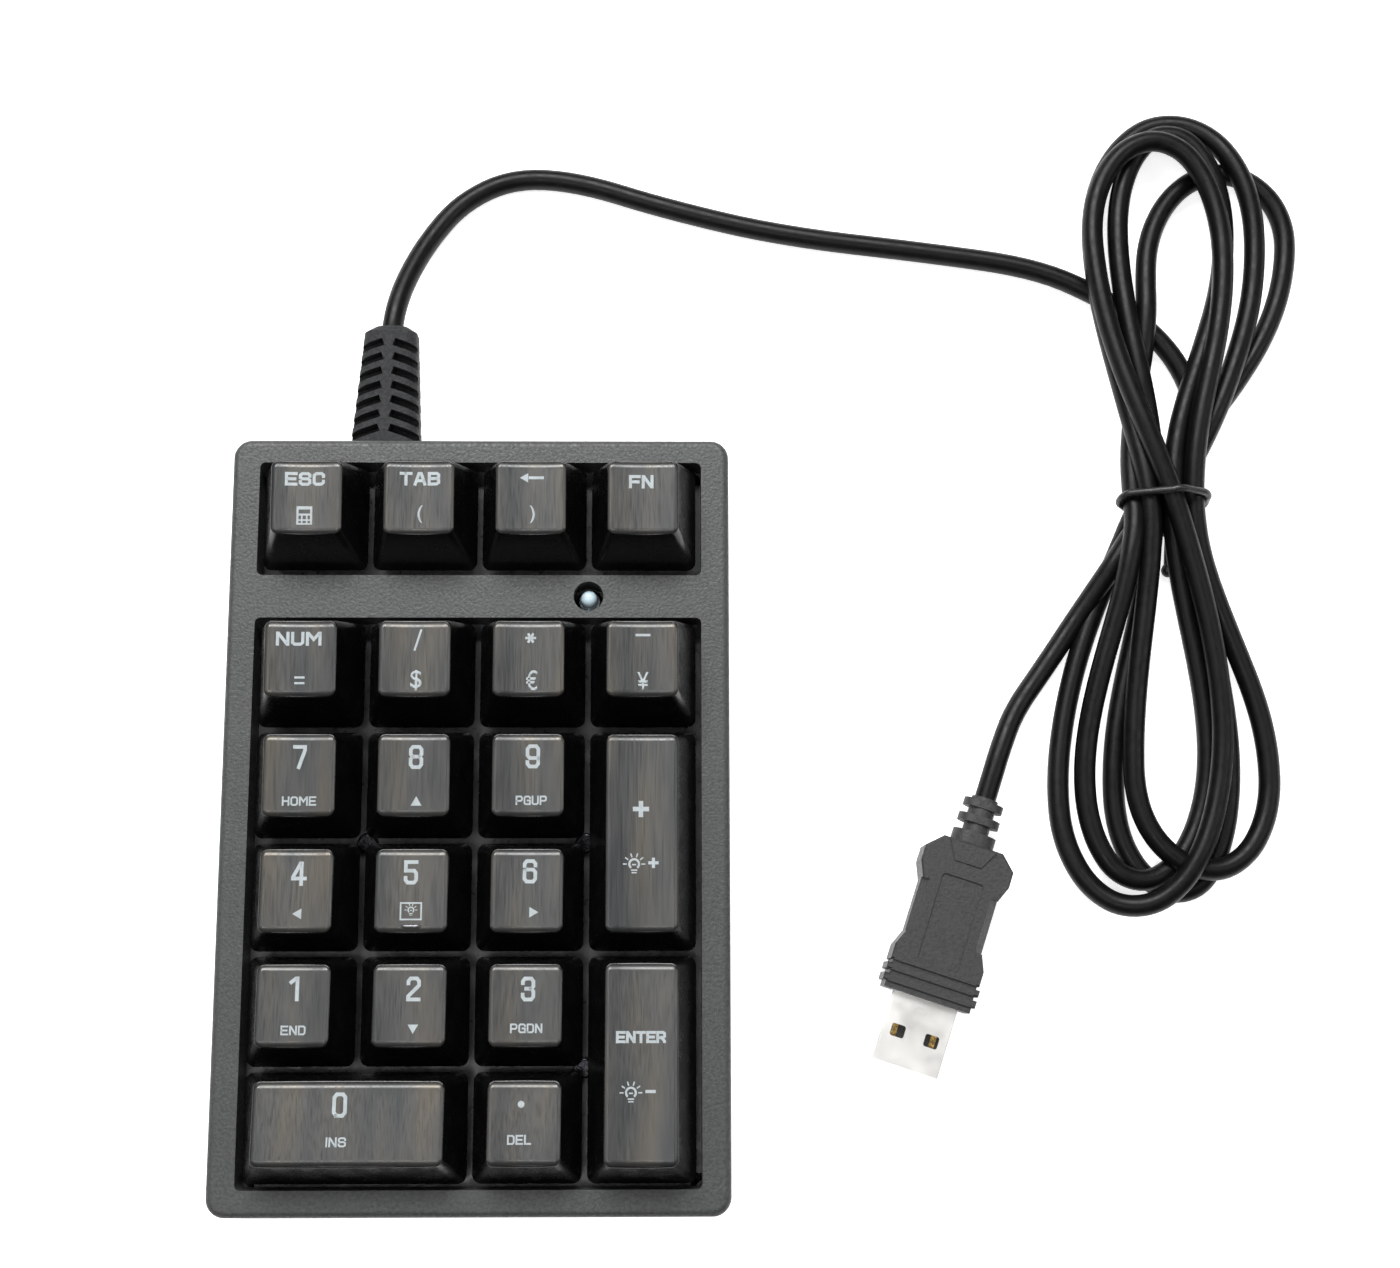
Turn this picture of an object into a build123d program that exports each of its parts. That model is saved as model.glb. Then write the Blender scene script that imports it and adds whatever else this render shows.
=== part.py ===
"""Numeric keypad with 21 mechanical key switches, a tied cable and a USB-A plug.

Frame: +X right, +Y towards the cable, +Z up. The origin is under the middle of the case, on the
surface that the rubber feet stand on. All sizes are in millimetres.
"""
from build123d import *
import math
import os

os.makedirs("parts", exist_ok=True)

# ---------------------------------------------------------------- driving dimensions
PITCH = 19.05                 # standard key spacing
CASE_W, CASE_D = 87.0, 132.6
CASE_R = 3.2                  # outer corner radius seen from above
CASE_TOP = 20.5
SPLIT_Z = 8.0                 # where the two shells meet
BASE_Z = 1.2                  # underside of the bottom shell
FLOOR_T = 2.0
WALL = 2.4
LIP_T, LIP_H = 1.0, 1.3
LIP_GAP = 0.15

PLATE_TOP, PLATE_T = 13.6, 1.5
BOARD_TOP, BOARD_T = 8.6, 1.6
CAVITY_GAP = 0.05             # between the plate and the shelf it bears against

# ---------------------------------------------------------------- key layout
ROW_Y = [52.0] + [24.4 - PITCH * i for i in range(5)]
COL_X = [PITCH * (i - 1.5) for i in range(4)]
TOP_ROW_Y = ROW_Y[0]

# Per row: cap height, tilt of the top (back edge up), depth of the top, its shift to the back
ROW_PROFILE = [
    (11.0, 3.0, 12.7, 1.5),
    (11.9, 2.0, 12.8, 1.1),
    (9.65, 1.5, 13.8, 0.8),
    (9.15, -2.4, 13.8, 0.7),
    (8.75, -3.2, 13.4, 1.05),
    (9.0, -6.4, 13.6, 1.25),
]
PLUS_PROFILE = (9.4, -0.5, 32.9, 0.75)
ENTER_PROFILE = (8.9, -4.0, 32.7, 1.1)

ONE_UNIT_KEYS = {
    "key_esc": (0, 0), "key_tab": (1, 0), "key_backspace": (2, 0), "key_fn": (3, 0),
    "key_num_lock": (0, 1), "key_divide": (1, 1), "key_multiply": (2, 1), "key_minus": (3, 1),
    "key_7": (0, 2), "key_8": (1, 2), "key_9": (2, 2),
    "key_4": (0, 3), "key_5": (1, 3), "key_6": (2, 3),
    "key_1": (0, 4), "key_2": (1, 4), "key_3": (2, 4),
    "key_decimal": (2, 5),
}
PLUS_SPOT = (COL_X[3], (ROW_Y[2] + ROW_Y[3]) / 2)
ENTER_SPOT = (COL_X[3], (ROW_Y[4] + ROW_Y[5]) / 2)
ZERO_SPOT = ((COL_X[0] + COL_X[1]) / 2, ROW_Y[5])

KEY_SPOTS = [(COL_X[c], ROW_Y[r]) for c, r in ONE_UNIT_KEYS.values()]
KEY_SPOTS += [PLUS_SPOT, ENTER_SPOT, ZERO_SPOT]

# ---------------------------------------------------------------- caps, switches, stabilisers
CAP_BASE, CAP_TOP_W = 18.14, 12.04
CAP_BASE_R, CAP_TOP_R = 1.5, 1.3
CAP_WALL, CAP_ROOF = 1.35, 1.5
CAP_BOTTOM = PLATE_TOP + 5.85
CAP_RIM = 0.4                 # flat rim left beside the scooped top
SCOOP_R = 33.0
POST_R = 2.75
CROSS_L, CROSS_T, CROSS_H = 4.0, 1.2, 3.6
CROSS_FIT = 0.03              # clearance of the cross in its slot

SW_BODY, SW_FLANGE, SW_FLANGE_T = 13.9, 15.6, 1.0
SW_TOP = PLATE_TOP + 6.6
SW_FLOOR_T = 1.0
SW_CAVITY = 10.4
SW_COVER_BASE, SW_COVER_TOP, SW_COVER_WALL = 13.6, 9.8, 1.0
SLIDER_W, SLIDER_D, SLIDER_CLEAR = 7.0, 5.4, 0.2
SHOULDER_W, SHOULDER_D = 8.0, 6.4
SLIDER_BOTTOM = 16.0
PEG_R = 2.0                   # locating peg under the switch
PIN_SPOTS = [(-3.81, 2.54), (2.54, 5.08)]
PIN_W, PIN_T = 1.0, 0.5
PIN_END, PIN_HOLE_R = 5.4, 0.7
BLADE_H = 2.1
LED_W, LED_D, LED_Y = 3.0, 1.5, -6.0
LED_SLOT = 0.2

STAB_REACH = 11.94            # key centre to each stabiliser insert
STAB_PIVOT = 8.2              # key centre line to the wire's pivot line
STAB_PIVOT_Z = 11.0
STAB_ARM = 8.5
STAB_LIFT = 3.1               # how far the wire's end stands above its pivot at rest
STAB_WIRE_R = 0.6
STAB_ARM_AT = 15.0

# ---------------------------------------------------------------- fasteners, feet, cable
PLATE_SCREWS = [(-PITCH, -4.2), (18.6, -4.2), (18.6, -42.3), (-30.0, 38.2), (30.0, 38.2)]
CASE_SCREWS = [(sx * 39.6, sy * 62.9) for sx in (-1, 1) for sy in (-1, 1)]
FEET = [(sx * 31.0, sy * 54.0) for sx in (-1, 1) for sy in (-1, 1)]
LAMP_SPOT = (PITCH, 38.2)

CABLE_D = 3.5
BOOT_X, BOOT_Z, BOOT_LENGTH = -17.9, SPLIT_Z, 24.2
PLUG_MOUTH = (78.0, -31.0)    # middle of the housing's front face
PLUG_TURN = 18.3              # degrees, plug axis against -Y
PLUG_Z = 4.25                 # height of the plug's axis

# Corners of the uncoiled stretches of the cable, chosen by hand
LEAD_ROUTE = [
    (-17.9, 90.5, 8.0), (-17.9, 95.0, 8.0), (-17.3, 101.5, 6.2), (-14.2, 109.8, 3.7),
    (-7.8, 118.3, 2.2), (3.0, 123.3, 1.8), (16.0, 122.2, 1.8), (32.0, 116.5, 1.8),
    (54.0, 111.0, 1.8), (82.0, 107.8, 1.8), (102.0, 105.0, 1.8), (114.0, 99.5, 1.8),
]
TAIL_ROUTE = [
    (114.5, 47.5, 1.8), (107.0, 37.0, 1.8), (100.5, 26.5, 1.9), (95.3, 16.0, 3.3),
    (92.3, 12.2, 4.25), (89.69, 4.36, 4.25),
]
HANK_H = 9.6
TIE_Y, TIE_R = 59.0, 0.7


def finish(built, name):
    """Label a finished piece and write it."""
    built.part.label = name
    export_step(built.part, f"parts/{name}.step")


# ---------------------------------------------------------------- shells
CASE_PLANE = Plane.XY.offset(SPLIT_Z)
KEY_WINDOW_W = 77.3
WINDOWS = [((0, TOP_ROW_Y), 20.2), ((0, -13.7), 96.2)]
WINDOW_R = 1.0
CAVITY_W, CAVITY_D = CASE_W - 2 * WALL, CASE_D - 2 * WALL
SHELF_Z = PLATE_TOP + CAVITY_GAP
LIP_OUT = WALL - LIP_T - LIP_GAP
SCREW_BOSS_R, SCREW_PILOT_R = 2.2, 0.8
LAMP_HOLE_R = 2.6
BOOT_NECK_R = 3.2
EDGE_FILLET = 1.2
BAR_W, BAR_D, BAR_H = 74.0, 4.2, 4.6    # hollow inside the bar between the key windows
BOSS_HOLE_H = 8.0
NECK_CLEAR, NECK_REACH = 0.1, 5.0

with BuildPart() as top_case:
    with BuildSketch(CASE_PLANE):
        RectangleRounded(CASE_W, CASE_D, CASE_R)
    extrude(amount=CASE_TOP - SPLIT_Z)
    fillet(top_case.faces().sort_by(Axis.Z)[-1].edges(), EDGE_FILLET)
    with BuildSketch(CASE_PLANE):
        RectangleRounded(CAVITY_W, CAVITY_D, 1.0)
    extrude(amount=SHELF_Z - SPLIT_Z, mode=Mode.SUBTRACT)
    with BuildSketch(CASE_PLANE):
        RectangleRounded(CASE_W - 2 * LIP_OUT, CASE_D - 2 * LIP_OUT, 1.8)
    extrude(amount=LIP_H + LIP_GAP, mode=Mode.SUBTRACT)
    for spot, depth in WINDOWS:
        with BuildSketch(Plane.XY.offset(SHELF_Z)):
            with Locations(spot):
                RectangleRounded(KEY_WINDOW_W, depth, WINDOW_R)
        extrude(amount=CASE_TOP, mode=Mode.SUBTRACT)
    with BuildSketch(Plane.XY.offset(SHELF_Z)):
        with Locations((0, LAMP_SPOT[1])):
            Rectangle(BAR_W, BAR_D)
    extrude(amount=BAR_H, mode=Mode.SUBTRACT)
    with BuildSketch(Plane.XY.offset(SHELF_Z)):
        with Locations(LAMP_SPOT):
            Circle(LAMP_HOLE_R)
    extrude(amount=CASE_TOP, mode=Mode.SUBTRACT)
    with BuildSketch(Plane.XY.offset(SPLIT_Z)):
        with Locations(*CASE_SCREWS):
            Circle(SCREW_BOSS_R)
    extrude(amount=SHELF_Z - SPLIT_Z)
    with BuildSketch(Plane.XY.offset(SPLIT_Z)):
        with Locations(*CASE_SCREWS):
            Circle(SCREW_PILOT_R)
    extrude(amount=BOSS_HOLE_H, mode=Mode.SUBTRACT)
    with BuildSketch(Plane.XZ.offset(-CASE_D)):
        with Locations((BOOT_X, BOOT_Z)):
            Circle(BOOT_NECK_R + NECK_CLEAR)
    extrude(amount=CASE_D / 2 + NECK_REACH, mode=Mode.SUBTRACT)
finish(top_case, "top_case")

FOOT_R, FOOT_SINK = 5.0, 0.6
BOSS_R = 2.3
HEAD_R, HEAD_DEPTH = 2.0, 2.6
POST_OUT_R, POST_BORE_R = 3.0, 1.15
PLATE_PILOT_R, PLATE_PILOT_H = 0.75, 7.0
BOTTOM_FILLET = 1.0

with BuildPart() as bottom_case:
    with BuildSketch(Plane.XY.offset(BASE_Z)):
        RectangleRounded(CASE_W, CASE_D, CASE_R)
    extrude(amount=SPLIT_Z - BASE_Z)
    fillet(bottom_case.faces().sort_by(Axis.Z)[0].edges(), BOTTOM_FILLET)
    with BuildSketch(CASE_PLANE):
        RectangleRounded(CASE_W - 2 * (LIP_OUT + LIP_GAP), CASE_D - 2 * (LIP_OUT + LIP_GAP), 1.7)
    extrude(amount=LIP_H)
    with BuildSketch(Plane.XY.offset(BASE_Z + FLOOR_T)):
        RectangleRounded(CAVITY_W, CAVITY_D, 1.0)
    extrude(amount=CASE_TOP, mode=Mode.SUBTRACT)
    with BuildSketch(Plane.XY.offset(BASE_Z + FLOOR_T)):
        with Locations(*PLATE_SCREWS):
            Circle(BOSS_R)
    extrude(amount=PLATE_TOP - PLATE_T - BASE_Z - FLOOR_T)
    with BuildSketch(Plane.XY.offset(BASE_Z + FLOOR_T)):
        with Locations(*CASE_SCREWS):
            Circle(POST_OUT_R)
    extrude(amount=SPLIT_Z - 0.1 - BASE_Z - FLOOR_T)
    with BuildSketch(Plane.XY.offset(SPLIT_Z)):
        with Locations(*CASE_SCREWS):
            Circle(POST_OUT_R + 0.2)
    extrude(amount=LIP_H, mode=Mode.SUBTRACT)
    with BuildSketch(Plane.XY.offset(BASE_Z)):
        with Locations(*CASE_SCREWS):
            Circle(POST_BORE_R)
    extrude(amount=SPLIT_Z, mode=Mode.SUBTRACT)
    with BuildSketch(Plane.XY.offset(BASE_Z)):
        with Locations(*CASE_SCREWS):
            Circle(HEAD_R)
    extrude(amount=HEAD_DEPTH, mode=Mode.SUBTRACT)
    with BuildSketch(Plane.XY.offset(PLATE_TOP - PLATE_T)):
        with Locations(*PLATE_SCREWS):
            Circle(PLATE_PILOT_R)
    extrude(amount=-PLATE_PILOT_H, mode=Mode.SUBTRACT)
    with BuildSketch(Plane.XY.offset(BASE_Z)):
        with Locations(*FEET):
            Circle(FOOT_R + 0.1)
    extrude(amount=FOOT_SINK, mode=Mode.SUBTRACT)
    with BuildSketch(Plane.XZ.offset(-CASE_D)):
        with Locations((BOOT_X, BOOT_Z)):
            Circle(BOOT_NECK_R + NECK_CLEAR)
    extrude(amount=CASE_D / 2 + NECK_REACH, mode=Mode.SUBTRACT)
finish(bottom_case, "bottom_case")

with BuildPart() as rubber_feet:
    with BuildSketch():
        with Locations(*FEET):
            Circle(FOOT_R)
    extrude(amount=BASE_Z + FOOT_SINK)
    chamfer(rubber_feet.faces().group_by(Axis.Z)[0].edges(), 0.4)
finish(rubber_feet, "rubber_feet")

# ---------------------------------------------------------------- plate, board and what is on it
PLATE_W, PLATE_D = 80.8, 126.8
BOARD_W, BOARD_D = 79.8, 125.8
CORNER_NOTCH = 7.4
STAB_LONG, STAB_ACROSS = (8.9, 15.8), (-3.7, 9.0)


def corner_spots(width, depth):
    """The four corners of a sheet."""
    return [(sx * width / 2, sy * depth / 2) for sx in (-1, 1) for sy in (-1, 1)]


def stabiliser_planes(offset):
    """One plane per stabiliser end: local X out along the key, local Y towards the wire."""
    ends = []
    for spot, along, across in (
        (PLUS_SPOT, Vector(0, 1, 0), Vector(1, 0, 0)),
        (ENTER_SPOT, Vector(0, 1, 0), Vector(1, 0, 0)),
        (ZERO_SPOT, Vector(1, 0, 0), Vector(0, -1, 0)),
    ):
        for side in (1, -1):
            ends.append((Vector(spot[0], spot[1], offset), along * side, across))
    return ends


def local_box(origin, out, across, x_range, y_range, z_range, mode):
    """A box in one stabiliser end's own directions."""
    far = origin + out * x_range[1] + across * y_range[1]
    near = origin + out * x_range[0] + across * y_range[0]
    middle = (far + near) * 0.5
    size = far - near
    spot = (middle.X, middle.Y, (z_range[0] + z_range[1]) / 2)
    with Locations(spot):
        Box(abs(size.X), abs(size.Y), z_range[1] - z_range[0], mode=mode)


with BuildPart() as switch_plate:
    with BuildSketch(Plane.XY.offset(PLATE_TOP - PLATE_T)):
        Rectangle(PLATE_W, PLATE_D)
        with Locations(*corner_spots(PLATE_W, PLATE_D)):
            Rectangle(CORNER_NOTCH, CORNER_NOTCH, mode=Mode.SUBTRACT)
        with Locations(*KEY_SPOTS):
            Rectangle(SW_BODY + 0.1, SW_BODY + 0.1, mode=Mode.SUBTRACT)
        with Locations(*PLATE_SCREWS):
            Circle(1.15, mode=Mode.SUBTRACT)
        with Locations(LAMP_SPOT):
            Circle(2.4, mode=Mode.SUBTRACT)
    extrude(amount=PLATE_T)
    for origin, out, across in stabiliser_planes(0):
        local_box(origin, out, across, STAB_LONG, STAB_ACROSS,
                  (PLATE_TOP - 2 * PLATE_T, PLATE_TOP + PLATE_T), Mode.SUBTRACT)
finish(switch_plate, "switch_plate")

BOOT_NOTCH, BOOT_NOTCH_SIZE = (BOOT_X, BOARD_D / 2), (9.6, 5.6)
LAMP_LEAD = 1.27

with BuildPart() as circuit_board:
    with BuildSketch(Plane.XY.offset(BOARD_TOP - BOARD_T)):
        Rectangle(BOARD_W, BOARD_D)
        with Locations(*corner_spots(BOARD_W, BOARD_D)):
            Rectangle(CORNER_NOTCH, CORNER_NOTCH, mode=Mode.SUBTRACT)
        with Locations(BOOT_NOTCH):
            Rectangle(*BOOT_NOTCH_SIZE, mode=Mode.SUBTRACT)
        with Locations(*KEY_SPOTS):
            Circle(PEG_R + 0.1, mode=Mode.SUBTRACT)
            with Locations(*PIN_SPOTS):
                Circle(PIN_HOLE_R, mode=Mode.SUBTRACT)
        with Locations(*PLATE_SCREWS):
            Circle(BOSS_R + 0.3, mode=Mode.SUBTRACT)
        with Locations(LAMP_SPOT):
            with GridLocations(2 * LAMP_LEAD, 0, 2, 1):
                Circle(0.4, mode=Mode.SUBTRACT)
    extrude(amount=BOARD_T)
finish(circuit_board, "circuit_board")

CHIP_SPOT, CHIP_SIZE, CHIP_H = (0.0, 38.2), 10.0, 1.4
CHIP_LEADS, CHIP_LEAD_PITCH = 11, 0.8

with BuildPart() as controller_chip:
    with Locations((*CHIP_SPOT, BOARD_TOP - BOARD_T - 0.1 - CHIP_H / 2)):
        Box(CHIP_SIZE, CHIP_SIZE, CHIP_H)
        with GridLocations(CHIP_LEAD_PITCH, CHIP_SIZE + 1.0, CHIP_LEADS, 2):
            Box(0.35, 1.0, 0.2)
        with GridLocations(CHIP_SIZE + 1.0, CHIP_LEAD_PITCH, 2, CHIP_LEADS):
            Box(1.0, 0.35, 0.2)
finish(controller_chip, "controller_chip")

SOCKET_X, SOCKET_Y, SOCKET_W, SOCKET_D, SOCKET_H = BOOT_X, 53.2, 7.6, 5.6, 3.2
SOCKET_Z = BOARD_TOP - BOARD_T - SOCKET_H / 2

with BuildPart() as cable_socket:
    with Locations((SOCKET_X, SOCKET_Y, SOCKET_Z)):
        Box(SOCKET_W, SOCKET_D, SOCKET_H)
    with Locations((SOCKET_X, SOCKET_Y + 1.0, SOCKET_Z)):
        Box(SOCKET_W - 1.4, SOCKET_D - 2.0, SOCKET_H - 1.2, mode=Mode.SUBTRACT)
    with Locations((SOCKET_X, SOCKET_Y + SOCKET_D / 2, SOCKET_Z)):
        Box(SOCKET_W - 1.4, 2.0, SOCKET_H - 1.2, mode=Mode.SUBTRACT)
finish(cable_socket, "cable_socket")

CONNECTOR_D = 4.4
CONNECTOR_Y = SOCKET_Y + SOCKET_D / 2 - 1.4
WIRE_R, WIRE_PITCH, WIRE_COUNT = 0.45, 1.4, 4
BOOT_FLANGE_Y = 61.4

with BuildPart() as lead_connector:
    with Locations((SOCKET_X, CONNECTOR_Y, SOCKET_Z)):
        Box(SOCKET_W - 1.6, CONNECTOR_D, SOCKET_H - 1.4)
finish(lead_connector, "lead_connector")

with BuildPart() as inner_wires:
    for index in range(WIRE_COUNT):
        wire_x = BOOT_X + WIRE_PITCH * (index - (WIRE_COUNT - 1) / 2)
        wire_start = (wire_x, BOOT_FLANGE_Y - 0.3, BOOT_Z - 0.9)
        wire_turn = (wire_x, BOOT_FLANGE_Y - 1.3, SOCKET_Z)
        wire_end = (wire_x, CONNECTOR_Y + CONNECTOR_D / 2, SOCKET_Z)
        with BuildLine() as wire_path:
            FilletPolyline(wire_start, wire_turn, wire_end, radius=0.7)
        with BuildSketch(Plane(origin=wire_path.line @ 0, z_dir=wire_path.line % 0)):
            Circle(WIRE_R)
        sweep(path=wire_path.line)
finish(inner_wires, "inner_wires")

LAMP_R, LAMP_TOP = 1.45, 19.2
LAMP_BODY_Z = 14.6

with BuildPart() as indicator_lamp:
    with Locations((*LAMP_SPOT, (LAMP_BODY_Z + LAMP_TOP - LAMP_R) / 2)):
        Cylinder(LAMP_R, LAMP_TOP - LAMP_R - LAMP_BODY_Z)
    with Locations((*LAMP_SPOT, LAMP_TOP - LAMP_R)):
        Sphere(LAMP_R)
    with Locations((*LAMP_SPOT, LAMP_BODY_Z + 0.4)):
        Cylinder(1.8, 0.8)
finish(indicator_lamp, "indicator_lamp")

with BuildPart() as lamp_leads:
    with Locations((*LAMP_SPOT, (LAMP_BODY_Z + BOARD_TOP - BOARD_T - 0.8) / 2)):
        with GridLocations(2 * LAMP_LEAD, 0, 2, 1):
            Box(0.45, 0.45, LAMP_BODY_Z - BOARD_TOP + BOARD_T + 0.8)
finish(lamp_leads, "lamp_leads")

# ---------------------------------------------------------------- screws
PLATE_HEAD_R, PLATE_HEAD_H = 1.8, 1.2
SHANK_R, SHANK_L = 0.7, 7.5
RECESS_T = 0.45


def cross_recess(spot, top_z, depth, turn, span):
    """A cross-head recess sunk from top_z; a negative depth sinks it upwards."""
    with BuildSketch(Plane(origin=(*spot, top_z), x_dir=(1, 0, 0), z_dir=(0, 0, 1))) as recess:
        Rectangle(span, RECESS_T, rotation=turn)
        Rectangle(RECESS_T, span, rotation=turn)
    extrude(recess.sketch, amount=-depth, mode=Mode.SUBTRACT)


with BuildPart() as plate_screws:
    with BuildSketch(Plane.XY.offset(PLATE_TOP)):
        with Locations(*PLATE_SCREWS):
            Circle(PLATE_HEAD_R)
    extrude(amount=PLATE_HEAD_H)
    fillet(plate_screws.faces().group_by(Axis.Z)[-1].edges(), 0.5)
    with BuildSketch(Plane.XY.offset(PLATE_TOP)):
        with Locations(*PLATE_SCREWS):
            Circle(SHANK_R)
    extrude(amount=-SHANK_L)
    for index, spot in enumerate(PLATE_SCREWS):
        cross_recess(spot, PLATE_TOP + PLATE_HEAD_H, 0.7, 45 + 9 * index, 2.1)
finish(plate_screws, "plate_screws")

with BuildPart() as case_screws:
    with BuildSketch(Plane.XY.offset(BASE_Z + HEAD_DEPTH)):
        with Locations(*CASE_SCREWS):
            Circle(HEAD_R - 0.15)
    extrude(amount=-1.3)
    with BuildSketch(Plane.XY.offset(BASE_Z + HEAD_DEPTH)):
        with Locations(*CASE_SCREWS):
            Circle(0.75)
    extrude(amount=9.5)
    for index, spot in enumerate(CASE_SCREWS):
        cross_recess(spot, BASE_Z + HEAD_DEPTH - 1.3, -0.7, 20 * index, 2.0)
finish(case_screws, "case_screws")

# ---------------------------------------------------------------- one switch, then all of them
with BuildPart() as lower_housing:
    with BuildSketch(Plane.XY.offset(BOARD_TOP)):
        RectangleRounded(SW_BODY, SW_BODY, 0.5)
    extrude(amount=PLATE_TOP - BOARD_TOP)
    with BuildSketch(Plane.XY.offset(PLATE_TOP)):
        RectangleRounded(SW_FLANGE, SW_FLANGE, 0.5)
    extrude(amount=SW_FLANGE_T)
    with BuildSketch(Plane.XY.offset(BOARD_TOP + SW_FLOOR_T)):
        RectangleRounded(SW_CAVITY, SW_CAVITY, 0.5)
    extrude(amount=SW_BODY, mode=Mode.SUBTRACT)
    with BuildSketch(Plane.XY.offset(BOARD_TOP)):
        Circle(PEG_R)
    extrude(amount=-3.0)
    with BuildSketch(Plane.XY.offset(BOARD_TOP)):
        with Locations(*PIN_SPOTS):
            Rectangle(PIN_W + 0.1, PIN_T + 0.1)
    extrude(amount=SW_FLOOR_T + BLADE_H + 0.1, mode=Mode.SUBTRACT)
    with BuildSketch(Plane.XY.offset(BOARD_TOP)):
        with Locations((0, LED_Y - 0.8)):
            Rectangle(LED_W + 2 * LED_SLOT, LED_D + 2 * LED_SLOT + 1.6)
    extrude(amount=SW_BODY, mode=Mode.SUBTRACT)

COVER_Z = PLATE_TOP + SW_FLANGE_T

with BuildPart() as upper_housing:
    with BuildSketch(Plane.XY.offset(COVER_Z)):
        RectangleRounded(SW_COVER_BASE, SW_COVER_BASE, 0.8)
    with BuildSketch(Plane.XY.offset(SW_TOP)):
        RectangleRounded(SW_COVER_TOP, SW_COVER_TOP, 0.8)
    loft()
    with BuildSketch(Plane.XY.offset(COVER_Z)):
        wide = SW_COVER_BASE - 2 * SW_COVER_WALL
        RectangleRounded(wide, wide, 0.4)
    with BuildSketch(Plane.XY.offset(SW_TOP - SW_COVER_WALL)):
        narrow = SW_COVER_TOP - 2 * SW_COVER_WALL + 0.68
        RectangleRounded(narrow, narrow, 0.4)
    loft(mode=Mode.SUBTRACT)
    with BuildSketch(Plane.XY.offset(SW_TOP - 2 * SW_COVER_WALL)):
        Rectangle(SLIDER_W + 2 * SLIDER_CLEAR, SLIDER_D + 2 * SLIDER_CLEAR)
    extrude(amount=2 * SW_COVER_WALL, mode=Mode.SUBTRACT)
    with BuildSketch(Plane.XY.offset(COVER_Z)):
        with Locations((0, LED_Y - 0.8)):
            Rectangle(LED_W + 2 * LED_SLOT, LED_D + 2 * LED_SLOT + 1.6)
    extrude(amount=1.4, mode=Mode.SUBTRACT)

SPRING_R, SPRING_WIRE_R, SPRING_TURNS = 2.1, 0.18, 5
SPRING_LOW = BOARD_TOP + SW_FLOOR_T + SPRING_WIRE_R + 0.08
SPRING_HIGH = SLIDER_BOTTOM - SPRING_WIRE_R - 0.08

with BuildPart() as spring:
    with BuildLine() as coil:
        Helix((SPRING_HIGH - SPRING_LOW) / SPRING_TURNS, SPRING_HIGH - SPRING_LOW, SPRING_R,
              center=(0, 0, SPRING_LOW))
    with BuildSketch(Plane(origin=coil.line @ 0, z_dir=coil.line % 0)):
        Circle(SPRING_WIRE_R)
    sweep(path=coil.line, is_frenet=True)

with BuildPart() as contact_pair:
    for pin_x, pin_y in PIN_SPOTS:
        blade_top = BOARD_TOP + SW_FLOOR_T + BLADE_H
        with Locations((pin_x, pin_y, (PIN_END + blade_top) / 2)):
            Box(PIN_W, PIN_T, blade_top - PIN_END)

with BuildPart() as key_lamp:
    with Locations((0, LED_Y, (BOARD_TOP + COVER_Z + 0.6) / 2)):
        Box(LED_W, LED_D, COVER_Z + 0.6 - BOARD_TOP)
    fillet(key_lamp.faces().sort_by(Axis.Z)[-1].edges(), 0.5)


def at_every_switch(prototype, name):
    """Repeat one switch piece under every key."""
    with BuildPart() as group:
        with Locations(*KEY_SPOTS):
            add(prototype.part)
    finish(group, name)


at_every_switch(lower_housing, "switch_lower_housings")
at_every_switch(upper_housing, "switch_upper_housings")
at_every_switch(spring, "switch_springs")
at_every_switch(contact_pair, "switch_contacts")
at_every_switch(key_lamp, "key_lamps")

# ---------------------------------------------------------------- keys
POST_BOTTOM = SW_TOP + 0.05


def cross_bars(length, thickness):
    """The cross of a key stem, in a sketch."""
    Rectangle(length, thickness)
    Rectangle(thickness, length)


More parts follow.
